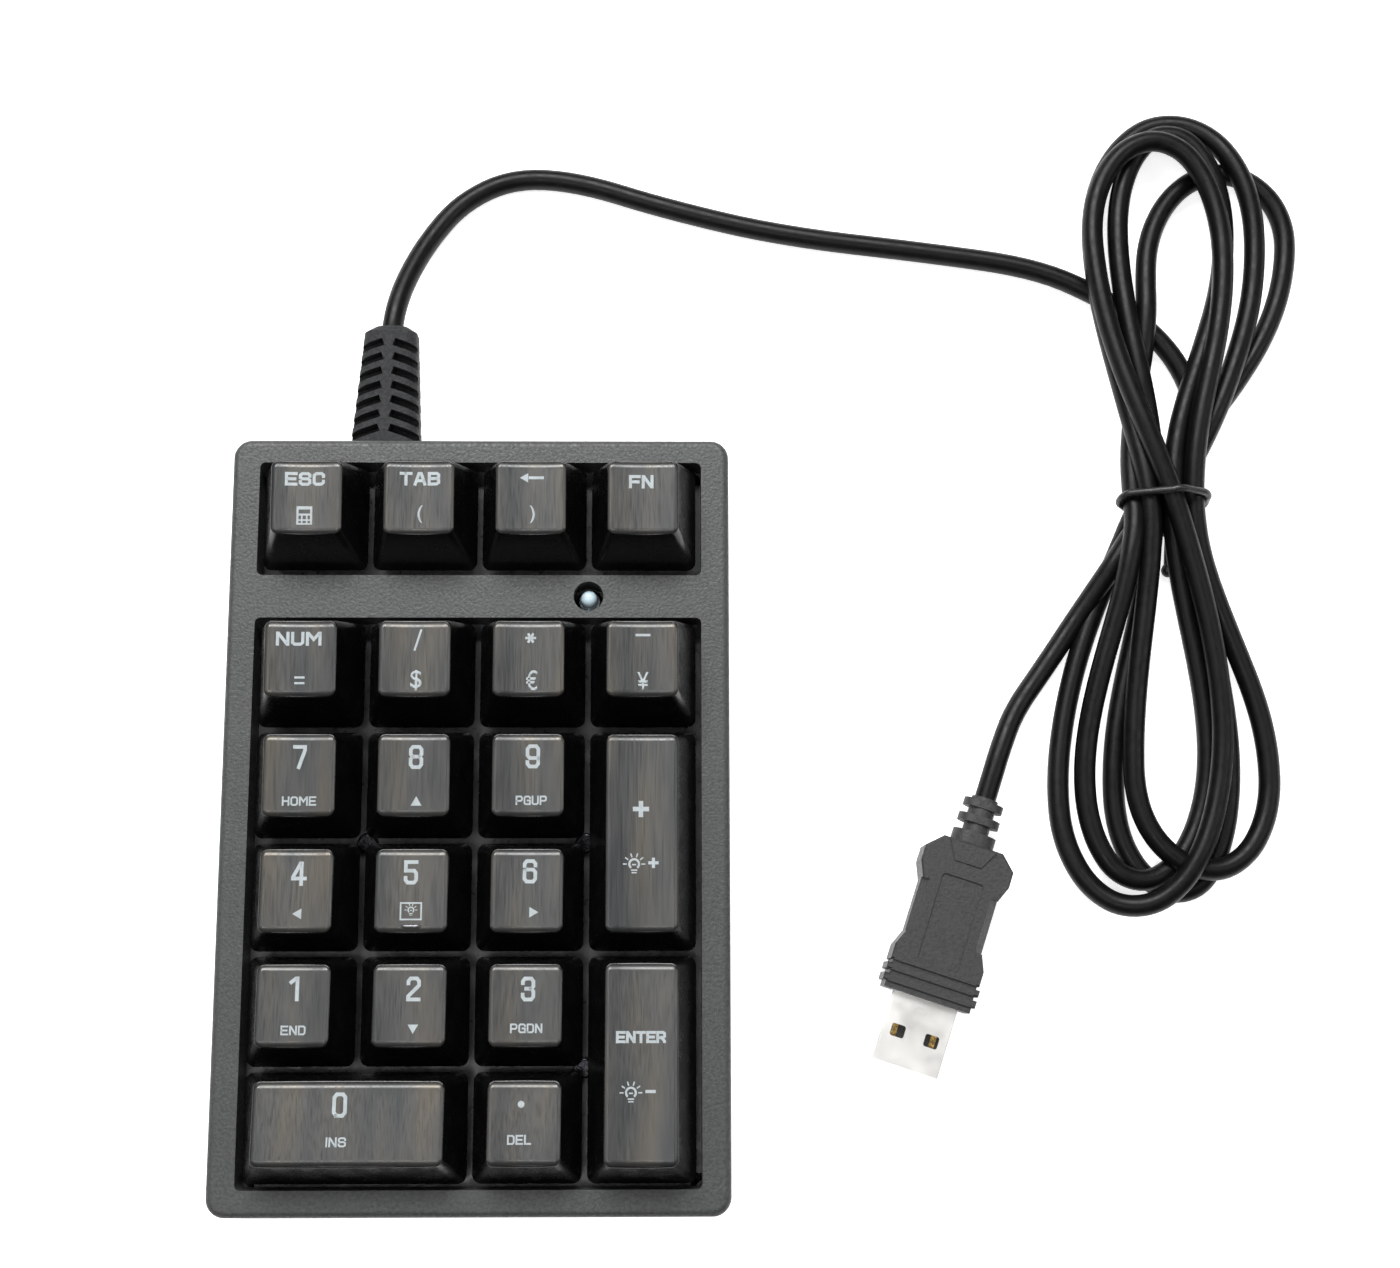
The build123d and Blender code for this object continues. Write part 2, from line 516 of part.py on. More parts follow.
def make_key(name, spot, base_w, base_d, top_w, profile, supports):
    """One cap with its posts, and the switch stem that carries it, as two solids."""
    cap_h, tilt, top_d, shift = profile
    x, y = spot
    normal = Vector(0, -math.sin(math.radians(tilt)), math.cos(math.radians(tilt)))
    top_at = Vector(x, y + shift, CAP_BOTTOM + cap_h)
    base = Plane(origin=(x, y, CAP_BOTTOM), x_dir=(1, 0, 0), z_dir=(0, 0, 1))
    top = Plane(origin=top_at, x_dir=(1, 0, 0), z_dir=normal)
    roof = Plane(origin=top_at - normal * CAP_ROOF, x_dir=(1, 0, 0), z_dir=normal)
    draft = CAP_ROOF * (base_w - top_w) / cap_h
    flat_half = top_w / 2 - CAP_RIM
    sag = 2 * SCOOP_R - 2 * math.sqrt(SCOOP_R ** 2 - (CAP_TOP_W / 2 - CAP_RIM) ** 2)
    scoop_r = (flat_half ** 2 + (sag / 2) ** 2) / sag

    with BuildPart() as inside:
        with BuildSketch(base.offset(-0.01)):
            RectangleRounded(base_w - 2 * CAP_WALL, base_d - 2 * CAP_WALL, 0.5)
        with BuildSketch(roof):
            wide = top_w + draft - 2 * CAP_WALL
            RectangleRounded(wide, top_d + draft - 2 * CAP_WALL, 0.4)
        loft()
        cross_at = [(x + dx, y + dy, POST_BOTTOM) for dx, dy in supports]
        for place in cross_at:
            with BuildSketch(Plane(origin=place, x_dir=(1, 0, 0), z_dir=(0, 0, 1))):
                Circle(POST_R)
                cross_bars(CROSS_L + 2 * CROSS_FIT, CROSS_T + 2 * CROSS_FIT)
            extrude(amount=cap_h, mode=Mode.SUBTRACT)

    with BuildPart() as key:
        with BuildSketch(base):
            RectangleRounded(base_w, base_d, CAP_BASE_R)
        with BuildSketch(top):
            RectangleRounded(top_w, top_d, CAP_TOP_R)
        loft()
        with BuildSketch(Plane(origin=top_at + normal * (scoop_r - sag / 2), x_dir=(1, 0, 0),
                               z_dir=normal.cross(Vector(1, 0, 0)))):
            Circle(scoop_r)
        extrude(amount=base_d, both=True, mode=Mode.SUBTRACT)
        fillet(key.edges().filter_by(lambda e: e.center().Z > CAP_BOTTOM + cap_h - 2.5
                                     and abs(e.tangent_at(0.5).Z) < 0.6), 0.3)
        add(inside.part, mode=Mode.SUBTRACT)
        for place in cross_at:
            with BuildSketch(Plane(origin=place, x_dir=(1, 0, 0), z_dir=(0, 0, 1))):
                cross_bars(CROSS_L + 2 * CROSS_FIT, CROSS_T + 2 * CROSS_FIT)
            extrude(amount=CROSS_H + 0.2, mode=Mode.SUBTRACT)

    with BuildPart() as stem:
        with BuildSketch(Plane(origin=(x, y, SLIDER_BOTTOM), x_dir=(1, 0, 0), z_dir=(0, 0, 1))):
            RectangleRounded(SHOULDER_W, SHOULDER_D, 0.3)
        extrude(amount=2.9)
        with BuildSketch(Plane(origin=(x, y, SLIDER_BOTTOM), x_dir=(1, 0, 0), z_dir=(0, 0, 1))):
            Rectangle(SLIDER_W, SLIDER_D)
        extrude(amount=SW_TOP - SLIDER_BOTTOM)
        with BuildSketch(Plane(origin=(x, y, SW_TOP), x_dir=(1, 0, 0), z_dir=(0, 0, 1))):
            cross_bars(CROSS_L, CROSS_T)
        extrude(amount=CROSS_H)
        with BuildSketch(Plane(origin=(x, y, SLIDER_BOTTOM), x_dir=(1, 0, 0), z_dir=(0, 0, 1))):
            Circle(0.8)
        extrude(amount=-2.2)

    with BuildPart() as both:
        add(key.part)
        add(stem.part)
    finish(both, name)


CENTRE_POST = [(0, 0)]
for key_name, (column, row) in ONE_UNIT_KEYS.items():
    make_key(key_name, (COL_X[column], ROW_Y[row]), CAP_BASE, CAP_BASE, CAP_TOP_W,
             ROW_PROFILE[row], CENTRE_POST)

TALL_POSTS = [(0, 0), (0, STAB_REACH), (0, -STAB_REACH)]
WIDE_POSTS = [(0, 0), (STAB_REACH, 0), (-STAB_REACH, 0)]
TWO_UNIT = CAP_BASE + PITCH
make_key("key_plus", PLUS_SPOT, CAP_BASE, TWO_UNIT, CAP_TOP_W, PLUS_PROFILE, TALL_POSTS)
make_key("key_enter", ENTER_SPOT, CAP_BASE, TWO_UNIT, CAP_TOP_W, ENTER_PROFILE, TALL_POSTS)
make_key("key_0", ZERO_SPOT, TWO_UNIT, CAP_BASE, CAP_TOP_W + PITCH, ROW_PROFILE[5], WIDE_POSTS)

# ---------------------------------------------------------------- stabilisers
INSERT_Z = (13.0, SW_TOP)
STAB_BODY_Z = (9.0, 16.0)
INSERT_HALF_L, INSERT_HALF_W = 2.0, 2.5
STAB_SLOT_Z = (13.4, 14.85)

with BuildPart() as stabiliser_housings:
    for origin, out, across in stabiliser_planes(0):
        local_box(origin, out, across, (9.0, 14.2), (-3.6, 3.6), STAB_BODY_Z, Mode.ADD)
        local_box(origin, out, across, (9.5, 13.5), (3.4, 9.6), (9.4, 12.0), Mode.ADD)
        local_box(origin, out, across, (8.2, 9.2), (-4.2, 3.6),
                  (PLATE_TOP, PLATE_TOP + 0.6), Mode.ADD)
        local_box(origin, out, across, (9.0, 14.2), (-4.6, -3.4),
                  (PLATE_TOP, PLATE_TOP + 0.6), Mode.ADD)
        local_box(origin, out, across, (9.74, 14.3), (-2.7, 2.7), (8.0, 17.0), Mode.SUBTRACT)
        bore_start = origin + out * 9.0 + across * STAB_PIVOT + Vector(0, 0, STAB_PIVOT_Z)
        with BuildSketch(Plane(origin=bore_start, z_dir=out)):
            Circle(STAB_WIRE_R + 0.06)
        extrude(amount=5.0, mode=Mode.SUBTRACT)
finish(stabiliser_housings, "stabiliser_housings")

WIRE_REACH = math.sqrt(STAB_ARM ** 2 - STAB_LIFT ** 2)


def make_stabiliser(name, spot, out, across):
    """The pair of inserts under one long key, and the bent wire that levels them."""
    origin = Vector(*spot, 0)
    up = Vector(0, 0, 1)
    with BuildPart() as inserts:
        for side in (1, -1):
            along = out * side
            span = (STAB_REACH - INSERT_HALF_L, STAB_REACH + INSERT_HALF_L)
            local_box(origin, along, across, span, (-INSERT_HALF_W, INSERT_HALF_W), INSERT_Z,
                      Mode.ADD)
            local_box(origin, along, across, (8.0, 16.0), (-1.15, 1.15), STAB_SLOT_Z,
                      Mode.SUBTRACT)
            top_at = origin + along * STAB_REACH + up * SW_TOP
            with BuildSketch(Plane(origin=top_at, x_dir=(1, 0, 0), z_dir=(0, 0, 1))):
                cross_bars(CROSS_L, CROSS_T)
            extrude(amount=CROSS_H)
    finish(inserts, f"stabiliser_inserts_{name}")

    pivot = origin + across * STAB_PIVOT + up * STAB_PIVOT_Z
    tip = pivot - across * WIRE_REACH + up * STAB_LIFT
    end_in = STAB_ARM_AT - 3.6
    corners = [
        tip + out * end_in, tip + out * STAB_ARM_AT, pivot + out * STAB_ARM_AT,
        pivot - out * STAB_ARM_AT, tip - out * STAB_ARM_AT, tip - out * end_in,
    ]
    with BuildPart() as wire:
        with BuildLine() as bends:
            FilletPolyline(*corners, radius=0.9)
        with BuildSketch(Plane(origin=bends.line @ 0, z_dir=bends.line % 0)):
            Circle(STAB_WIRE_R)
        sweep(path=bends.line)
    finish(wire, f"stabiliser_wire_{name}")


make_stabiliser("plus", PLUS_SPOT, Vector(0, 1, 0), Vector(1, 0, 0))
make_stabiliser("enter", ENTER_SPOT, Vector(0, 1, 0), Vector(1, 0, 0))
make_stabiliser("0", ZERO_SPOT, Vector(1, 0, 0), Vector(0, -1, 0))

# ---------------------------------------------------------------- strain relief boot
BOOT_BASE_W, BOOT_BASE_H, BOOT_TIP_W, BOOT_TIP_H = 12.6, 9.2, 9.6, 7.4
BOOT_BODY = BOOT_LENGTH - 1.2
BOOT_START = CASE_D / 2
SLOT_COUNT, SLOT_PITCH, SLOT_W, SLOT_SLOPE = 7, 2.72, 1.45, 19.5
SLOT_FIRST, BOOT_LEAN = 3.35, 0.6
SPINE_HALF, SLOT_FLOOR = 0.75, 1.3


def boot_plane(distance):
    """A plane across the boot, this far behind the case, facing away from it."""
    return Plane(origin=(BOOT_X, BOOT_START + distance, BOOT_Z), x_dir=(-1, 0, 0), z_dir=(0, 1, 0))


with BuildPart() as strain_relief:
    with BuildSketch(boot_plane(0.05)):
        with Locations((BOOT_LEAN, 0)):
            RectangleRounded(BOOT_BASE_W, BOOT_BASE_H, 2.6)
    with BuildSketch(boot_plane(BOOT_BODY)):
        RectangleRounded(BOOT_TIP_W, BOOT_TIP_H, 2.4)
    loft()
    with BuildSketch(boot_plane(BOOT_BODY)):
        RectangleRounded(BOOT_TIP_W, BOOT_TIP_H, 2.4)
    with BuildSketch(boot_plane(BOOT_LENGTH)):
        RectangleRounded(BOOT_TIP_W - 3.0, BOOT_TIP_H - 2.0, 2.3)
    loft()
    for index in range(SLOT_COUNT):
        along = SLOT_FIRST + SLOT_PITCH * index
        middle_x = BOOT_X - BOOT_LEAN * (1 - along / BOOT_LENGTH)
        for side in (1, -1):
            for face in (1, -1):
                slot_at = (middle_x + side * (SPINE_HALF + 3.5), BOOT_START + along,
                           BOOT_Z + face * (SLOT_FLOOR + 3.0))
                with Locations(Location(slot_at, (0, 0, -side * SLOT_SLOPE))):
                    Box(7.0, SLOT_W, 6.0, mode=Mode.SUBTRACT)
    with BuildSketch(boot_plane(0.05)):
        Circle(BOOT_NECK_R)
    extrude(amount=-WALL - 0.35)
    with BuildSketch(boot_plane(-WALL - 0.2)):
        Circle(3.9)
    extrude(amount=-(BOOT_START - WALL - 0.2 - BOOT_FLANGE_Y))
finish(strain_relief, "strain_relief")

# ---------------------------------------------------------------- cable
FILLET_SHARE = 0.45


def route_radii(points):
    """The arc at each corner: 0.45 of its shorter run over the tangent of half its turn."""
    places = [Vector(*p) for p in points]
    radii = []
    for before, here, after in zip(places, places[1:], places[2:]):
        shorter = min((here - before).length, (after - here).length)
        half_turn = math.radians((here - before).get_angle(after - here)) / 2
        radii.append(FILLET_SHARE * shorter / math.tan(half_turn))
    return radii


def cable_tube(points, name):
    """A plain tube along one uncoiled stretch of the cable."""
    radii = route_radii(points)
    with BuildPart() as tube:
        with BuildLine() as path:
            FilletPolyline(*points, radius=radii)
        with BuildSketch(Plane(origin=path.line @ 0, z_dir=path.line % 0)):
            Circle(CABLE_D / 2)
        sweep(path=path.line)
    length = path.wire().length
    expected = math.pi * (CABLE_D / 2) ** 2 * length
    print(name, "radii", [round(r, 1) for r in radii], "length", round(length, 1),
          "volume ratio", round(tube.part.volume / expected, 4))
    return tube


# Outline of the tied hank, seen from above: upper lobe, waist under the tie, lower lobe
with BuildPart() as hank_block:
    with BuildSketch() as hank_outline:
        with BuildLine():
            Line((115.4, 57.0), (115.4, 61.5))
            Line((115.4, 61.5), (110.4, 100.0))
            ThreePointArc((110.4, 100.0), (113.8, 126.0), (130.0, 134.0))
            ThreePointArc((130.0, 134.0), (148.5, 122.5), (150.2, 100.0))
            Line((150.2, 100.0), (133.0, 61.5))
            Line((133.0, 61.5), (133.0, 57.0))
            Line((133.0, 57.0), (142.6, 12.0))
            ThreePointArc((142.6, 12.0), (134.0, -11.5), (116.0, -16.0))
            ThreePointArc((116.0, -16.0), (103.5, -8.5), (101.2, 10.0))
            Line((101.2, 10.0), (107.0, 33.0))
            Line((107.0, 33.0), (115.4, 57.0))
        make_face()
    extrude(amount=HANK_H)
    with Locations((124.2, TIE_Y, 0)):
        Box(24.0, 2.6, 3.2, mode=Mode.SUBTRACT)
    with Locations((125.0, TIE_Y - 6.5, 0)):
        Box(3.4, 14.0, 5.2, mode=Mode.SUBTRACT)
finish(hank_block, "cable_hank")

lead_tube = cable_tube(LEAD_ROUTE, "cable_lead")
tail_tube = cable_tube(TAIL_ROUTE, "cable_tail")
with BuildPart() as cable_lead:
    add(lead_tube.part)
    add(hank_block.part, mode=Mode.SUBTRACT)
finish(cable_lead, "cable_lead")
with BuildPart() as cable_tail:
    add(tail_tube.part)
    add(hank_block.part, mode=Mode.SUBTRACT)
finish(cable_tail, "cable_tail")

TIE_LEFT, TIE_RIGHT, TIE_LOW, TIE_HIGH = 114.3, 134.1, 0.75, HANK_H + 0.95
TIE_CORNER, TIE_DROP = 1.2, 0.1
TIE_TAIL_X, TIE_TAIL_L, TIE_TAIL_R, TIE_BALL_R = 125.0, 11.5, 0.6, 1.15

with BuildPart() as cable_tie:
    with BuildLine() as tie_path:
        FilletPolyline((124.0, TIE_Y, TIE_HIGH), (TIE_RIGHT, TIE_Y, TIE_HIGH - TIE_DROP),
                       (TIE_RIGHT, TIE_Y, TIE_LOW), (TIE_LEFT, TIE_Y, TIE_LOW),
                       (TIE_LEFT, TIE_Y, TIE_HIGH - TIE_DROP), radius=TIE_CORNER, close=True)
    with BuildSketch(Plane(origin=tie_path.line @ 0, z_dir=tie_path.line % 0)):
        Circle(TIE_R)
    sweep(path=tie_path.line)
    with Locations(Location((TIE_TAIL_X, TIE_Y - TIE_TAIL_L / 2 - 0.25, TIE_LOW), (90, 0, 0))):
        Cylinder(TIE_TAIL_R, TIE_TAIL_L)
    with Locations((TIE_TAIL_X, TIE_Y - TIE_TAIL_L - 0.3, TIE_BALL_R + 0.05)):
        Sphere(TIE_BALL_R)
finish(cable_tie, "cable_tie")

# ---------------------------------------------------------------- plug
TURN = math.radians(PLUG_TURN)
PLUG_AHEAD = Vector(-math.sin(TURN), -math.cos(TURN), 0)
PLUG_ACROSS = Vector(-math.cos(TURN), math.sin(TURN), 0)
PLUG_FLAT = Plane(origin=(*PLUG_MOUTH, 0), x_dir=PLUG_ACROSS, z_dir=(0, 0, 1))
HOUSING_H, HOUSING_L = 8.4, 28.4
NECK_L, NECK_R = 8.8, 2.4
NECK_RIBS = [(0.6, 1.4, 7.2, 5.2), (3.45, 1.4, 7.6, 5.6), (6.5, 3.0, 7.9, 6.2)]  # start, length, size
PANEL_W, PANEL_L, PANEL_DEPTH, PANEL_BACK = 7.5, 16.1, 0.35, 14.0
BACK_PANEL = [(-5.0, -29.0), (-2.5, -24.5), (2.5, -24.5), (5.0, -29.0)]
LINE_W, LINE_DEPTH = 0.25, 0.25
GROOVES, GROOVE_DEPTH = [(-4.9, 0.6), (-3.1, 0.7), (-1.1, 1.2)], 0.45
HOUSING_W, WAIST_HALF = 16.8, 7.0
FACET_BACK, FACET_L, FACET_W, FACET_H = 20.2, 9.8, 1.5, 2.2
HOUSING_HALF = [
    (5.4, -HOUSING_L), (8.1, -25.8), (8.1, -23.0), (7.0, -20.4), (7.0, -10.2), (8.1, -7.6),
    (8.1, -4.9), (7.7, -4.9), (7.7, -4.3), (8.4, -4.3), (8.4, -3.1), (7.7, -3.1), (7.7, -2.4),
    (8.4, -2.4), (8.4, -1.1), (7.8, -1.1), (7.8, 0.0),
]
SHELL_W, SHELL_H, SHELL_T, SHELL_L, SHELL_SUNK = 12.0, 4.5, 0.3, 12.4, 5.0


def across_plug(distance):
    """A plane across the plug's axis, this far ahead of the housing's front face."""
    at = Vector(*PLUG_MOUTH, PLUG_Z) + PLUG_AHEAD * distance
    return Plane(origin=at, x_dir=PLUG_ACROSS, z_dir=PLUG_AHEAD)


def on_plug(height):
    """A flat plane over the plug at this height."""
    return Plane(origin=(*PLUG_MOUTH, height), x_dir=PLUG_ACROSS, z_dir=(0, 0, 1))


with BuildPart() as plug_housing:
    with BuildSketch(on_plug(PLUG_Z - HOUSING_H / 2)):
        with BuildLine():
            Polyline(*HOUSING_HALF, *[(-w, d) for w, d in reversed(HOUSING_HALF)], close=True)
        make_face()
    extrude(amount=HOUSING_H)
    chamfer(plug_housing.faces().sort_by(Axis.Z)[-1].edges(), 0.3)
    with BuildSketch(on_plug(PLUG_Z + HOUSING_H / 2 - PANEL_DEPTH)):
        with Locations((0, -PANEL_BACK)):
            RectangleRounded(PANEL_W, PANEL_L, 0.6)
    extrude(amount=1.0, mode=Mode.SUBTRACT)
    with BuildSketch(on_plug(PLUG_Z + HOUSING_H / 2 - LINE_DEPTH)):
        with BuildLine():
            Polyline(*BACK_PANEL, close=True)
        make_face()
        offset(amount=-LINE_W, mode=Mode.SUBTRACT)
    extrude(amount=1.0, mode=Mode.SUBTRACT)
    for start, length in GROOVES:
        with BuildSketch(across_plug(start)):
            with Locations((0, HOUSING_H / 2), (0, -HOUSING_H / 2)):
                Rectangle(HOUSING_W + 1.0, 2 * GROOVE_DEPTH)
        extrude(amount=length, mode=Mode.SUBTRACT)
    for side in (1, -1):
        for face in (1, -1):
            edge = face * (HOUSING_H / 2 + 0.1)
            with BuildSketch(across_plug(-FACET_BACK)):
                with BuildLine():
                    Polyline((side * (WAIST_HALF - FACET_W), edge), (side * (WAIST_HALF + 0.1), edge),
                             (side * (WAIST_HALF + 0.1), edge - face * FACET_H), close=True)
                make_face()
            extrude(amount=FACET_L, mode=Mode.SUBTRACT)
    with BuildSketch(across_plug(-HOUSING_L - NECK_L)):
        Circle(NECK_R)
    extrude(amount=NECK_L + 1.0)
    for start, length, width, height in NECK_RIBS:
        with BuildSketch(across_plug(-HOUSING_L - NECK_L + start)):
            SlotOverall(width, height)
        extrude(amount=length)
    with BuildSketch(across_plug(-SHELL_SUNK)):
        Rectangle(SHELL_W, SHELL_H)
    extrude(amount=SHELL_SUNK + 1.0, mode=Mode.SUBTRACT)
finish(plug_housing, "plug_housing")

WINDOW_X, WINDOW_AHEAD, WINDOW_SIZE = 3.05, 6.6, 2.5
DIMPLE_AHEAD, DIMPLE_L, DIMPLE_W, DIMPLE_DEPTH = 2.3, 2.4, 1.4, 0.15

with BuildPart() as plug_shell:
    with BuildSketch(across_plug(-SHELL_SUNK)):
        RectangleRounded(SHELL_W, SHELL_H, 0.35)
        Rectangle(SHELL_W - 2 * SHELL_T, SHELL_H - 2 * SHELL_T, mode=Mode.SUBTRACT)
    extrude(amount=SHELL_SUNK + SHELL_L)
    with BuildSketch(on_plug(PLUG_Z - SHELL_H)):
        with Locations((WINDOW_X, WINDOW_AHEAD), (-WINDOW_X, WINDOW_AHEAD)):
            RectangleRounded(WINDOW_SIZE, WINDOW_SIZE - 0.3, 0.4)
    extrude(amount=2 * SHELL_H, mode=Mode.SUBTRACT)
    with BuildSketch(on_plug(PLUG_Z + SHELL_H / 2 - DIMPLE_DEPTH)):
        with Locations((0, DIMPLE_AHEAD)):
            SlotOverall(DIMPLE_L, DIMPLE_W)
            SlotOverall(DIMPLE_L - 0.8, DIMPLE_W - 0.8, mode=Mode.SUBTRACT)
    extrude(amount=1.0, mode=Mode.SUBTRACT)
finish(plug_shell, "plug_shell")

TONGUE_H = 1.9
TONGUE_Z = PLUG_Z - SHELL_H / 2 + SHELL_T + TONGUE_H / 2 + 0.03
CONTACTS = [(-3.5, 1.0), (-1.0, 2.0), (1.0, 2.0), (3.5, 1.0)]

with BuildPart() as plug_tongue:
    with BuildSketch(across_plug(-SHELL_SUNK + 0.2)):
        with Locations((0, PLUG_Z - TONGUE_Z)):
            Rectangle(SHELL_W - 2 * SHELL_T - 0.1, TONGUE_H)
    extrude(amount=SHELL_SUNK + SHELL_L - 0.8)
finish(plug_tongue, "plug_tongue")

with BuildPart() as plug_contacts:
    with BuildSketch(on_plug(TONGUE_Z + TONGUE_H / 2)):
        for contact_x, setback in CONTACTS:
            with Locations((contact_x, (SHELL_L - setback - 1.2) / 2)):
                Rectangle(1.0, SHELL_L - setback - 1.2)
    extrude(amount=0.15)
finish(plug_contacts, "plug_contacts")
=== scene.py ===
"""Looks of the numeric keypad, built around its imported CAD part. Metres, in the row frame."""
import math

import bmesh
import bpy
import numpy as np
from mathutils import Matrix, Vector
from mathutils.bvhtree import BVHTree


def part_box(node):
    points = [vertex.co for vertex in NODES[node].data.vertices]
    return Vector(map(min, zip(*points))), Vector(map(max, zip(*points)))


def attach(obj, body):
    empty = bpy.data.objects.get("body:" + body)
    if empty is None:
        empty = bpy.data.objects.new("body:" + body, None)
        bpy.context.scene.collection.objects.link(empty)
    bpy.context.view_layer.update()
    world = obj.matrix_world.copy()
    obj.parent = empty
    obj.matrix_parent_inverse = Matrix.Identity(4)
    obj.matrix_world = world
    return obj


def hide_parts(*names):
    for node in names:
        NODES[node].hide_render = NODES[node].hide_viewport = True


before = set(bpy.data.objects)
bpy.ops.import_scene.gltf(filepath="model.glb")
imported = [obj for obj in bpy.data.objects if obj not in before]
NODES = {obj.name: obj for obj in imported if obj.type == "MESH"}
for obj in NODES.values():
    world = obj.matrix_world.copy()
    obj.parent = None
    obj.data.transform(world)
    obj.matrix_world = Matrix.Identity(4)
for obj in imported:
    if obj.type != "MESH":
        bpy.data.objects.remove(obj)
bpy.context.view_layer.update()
SCENE = bpy.context.scene
MM = 0.001

# ---------------------------------------------------------------- camera
camera_data = bpy.data.cameras.new("camera")
camera = bpy.data.objects.new("camera", camera_data)
SCENE.collection.objects.link(camera)
camera_data.sensor_width = 36.0
camera_data.lens = 52.56
camera_data.clip_start = 0.01
camera.location = (0.03352, -0.03032, 0.36943)
camera.rotation_euler = (0.17540, -0.01369, -0.00204)
SCENE.camera = camera


# ---------------------------------------------------------------- material kit
class Look:
    """One procedural material under construction; textures are laid out in metres."""

    def __init__(self, name, color, rough, metal=0.0, **sockets):
        self.mat = bpy.data.materials.new(name)
        self.mat.use_nodes = True
        self.tree = self.mat.node_tree
        self.bsdf = self.tree.nodes["Principled BSDF"]
        self.bsdf.inputs["Base Color"].default_value = (*color, 1.0)
        self.bsdf.inputs["Roughness"].default_value = rough
        self.bsdf.inputs["Metallic"].default_value = metal
        for key, value in sockets.items():
            self.bsdf.inputs[key.replace("_", " ")].default_value = value
        self.place = self.tree.nodes.new("ShaderNodeTexCoord").outputs["Object"]
        self.color, self.rough, self.last_bump = color, rough, None

    def noise(self, size, detail=2.0, stretch=(1, 1, 1), rough=0.5):
        """Noise with features about size metres across, drawn out along an axis by stretch."""
        scaled = self.tree.nodes.new("ShaderNodeMapping")
        scaled.inputs["Scale"].default_value = [1 / s for s in stretch]
        self.tree.links.new(self.place, scaled.inputs["Vector"])
        field = self.tree.nodes.new("ShaderNodeTexNoise")
        field.inputs["Scale"].default_value = 1 / size
        field.inputs["Detail"].default_value = detail
        field.inputs["Roughness"].default_value = rough
        self.tree.links.new(scaled.outputs["Vector"], field.inputs["Vector"])
        return field.outputs["Fac"]

    def spread(self, field, low, high, start=0.3, end=0.7):
        """The field stretched from start..end to low..high."""
        node = self.tree.nodes.new("ShaderNodeMapRange")
        node.inputs["From Min"].default_value = start
        node.inputs["From Max"].default_value = end
        node.inputs["To Min"].default_value = low
        node.inputs["To Max"].default_value = high
        self.tree.links.new(field, node.inputs["Value"])
        return node.outputs["Result"]

    def colors(self, field, *stops):
        """Base colour by the field: (position, colour) stops."""
        node = self.tree.nodes.new("ShaderNodeValToRGB")
        ramp = node.color_ramp
        ramp.elements[0].position, ramp.elements[1].position = stops[0][0], stops[-1][0]
        for position, _ in stops[1:-1]:
            ramp.elements.new(position)
        for element, (_, color) in zip(ramp.elements, stops):
            element.color = (*color, 1.0)
        self.tree.links.new(field, node.inputs["Fac"])
        self.tree.links.new(node.outputs["Color"], self.bsdf.inputs["Base Color"])
        return self

    def mottle(self, size, amount=0.12, **noise):
        """Uneven lightness around the base colour."""
        dark = [c * (1 - amount) for c in self.color]
        light = [c * (1 + amount) for c in self.color]
        return self.colors(self.noise(size, **noise), (0.3, dark), (0.7, light))

    def uneven(self, size, amount=0.08, **noise):
        """Uneven gloss around the base roughness."""
        field = self.spread(self.noise(size, **noise), self.rough - amount, self.rough + amount)
        self.tree.links.new(field, self.bsdf.inputs["Roughness"])
        return self

    def bump(self, size, height, **noise):
        """Relief of that height in metres."""
        node = self.tree.nodes.new("ShaderNodeBump")
        node.inputs["Strength"].default_value = 1.0
        node.inputs["Distance"].default_value = height
        self.tree.links.new(self.noise(size, **noise), node.inputs["Height"])
        if self.last_bump:
            self.tree.links.new(self.last_bump, node.inputs["Normal"])
        self.last_bump = node.outputs["Normal"]
        self.tree.links.new(self.last_bump, self.bsdf.inputs["Normal"])
        return self


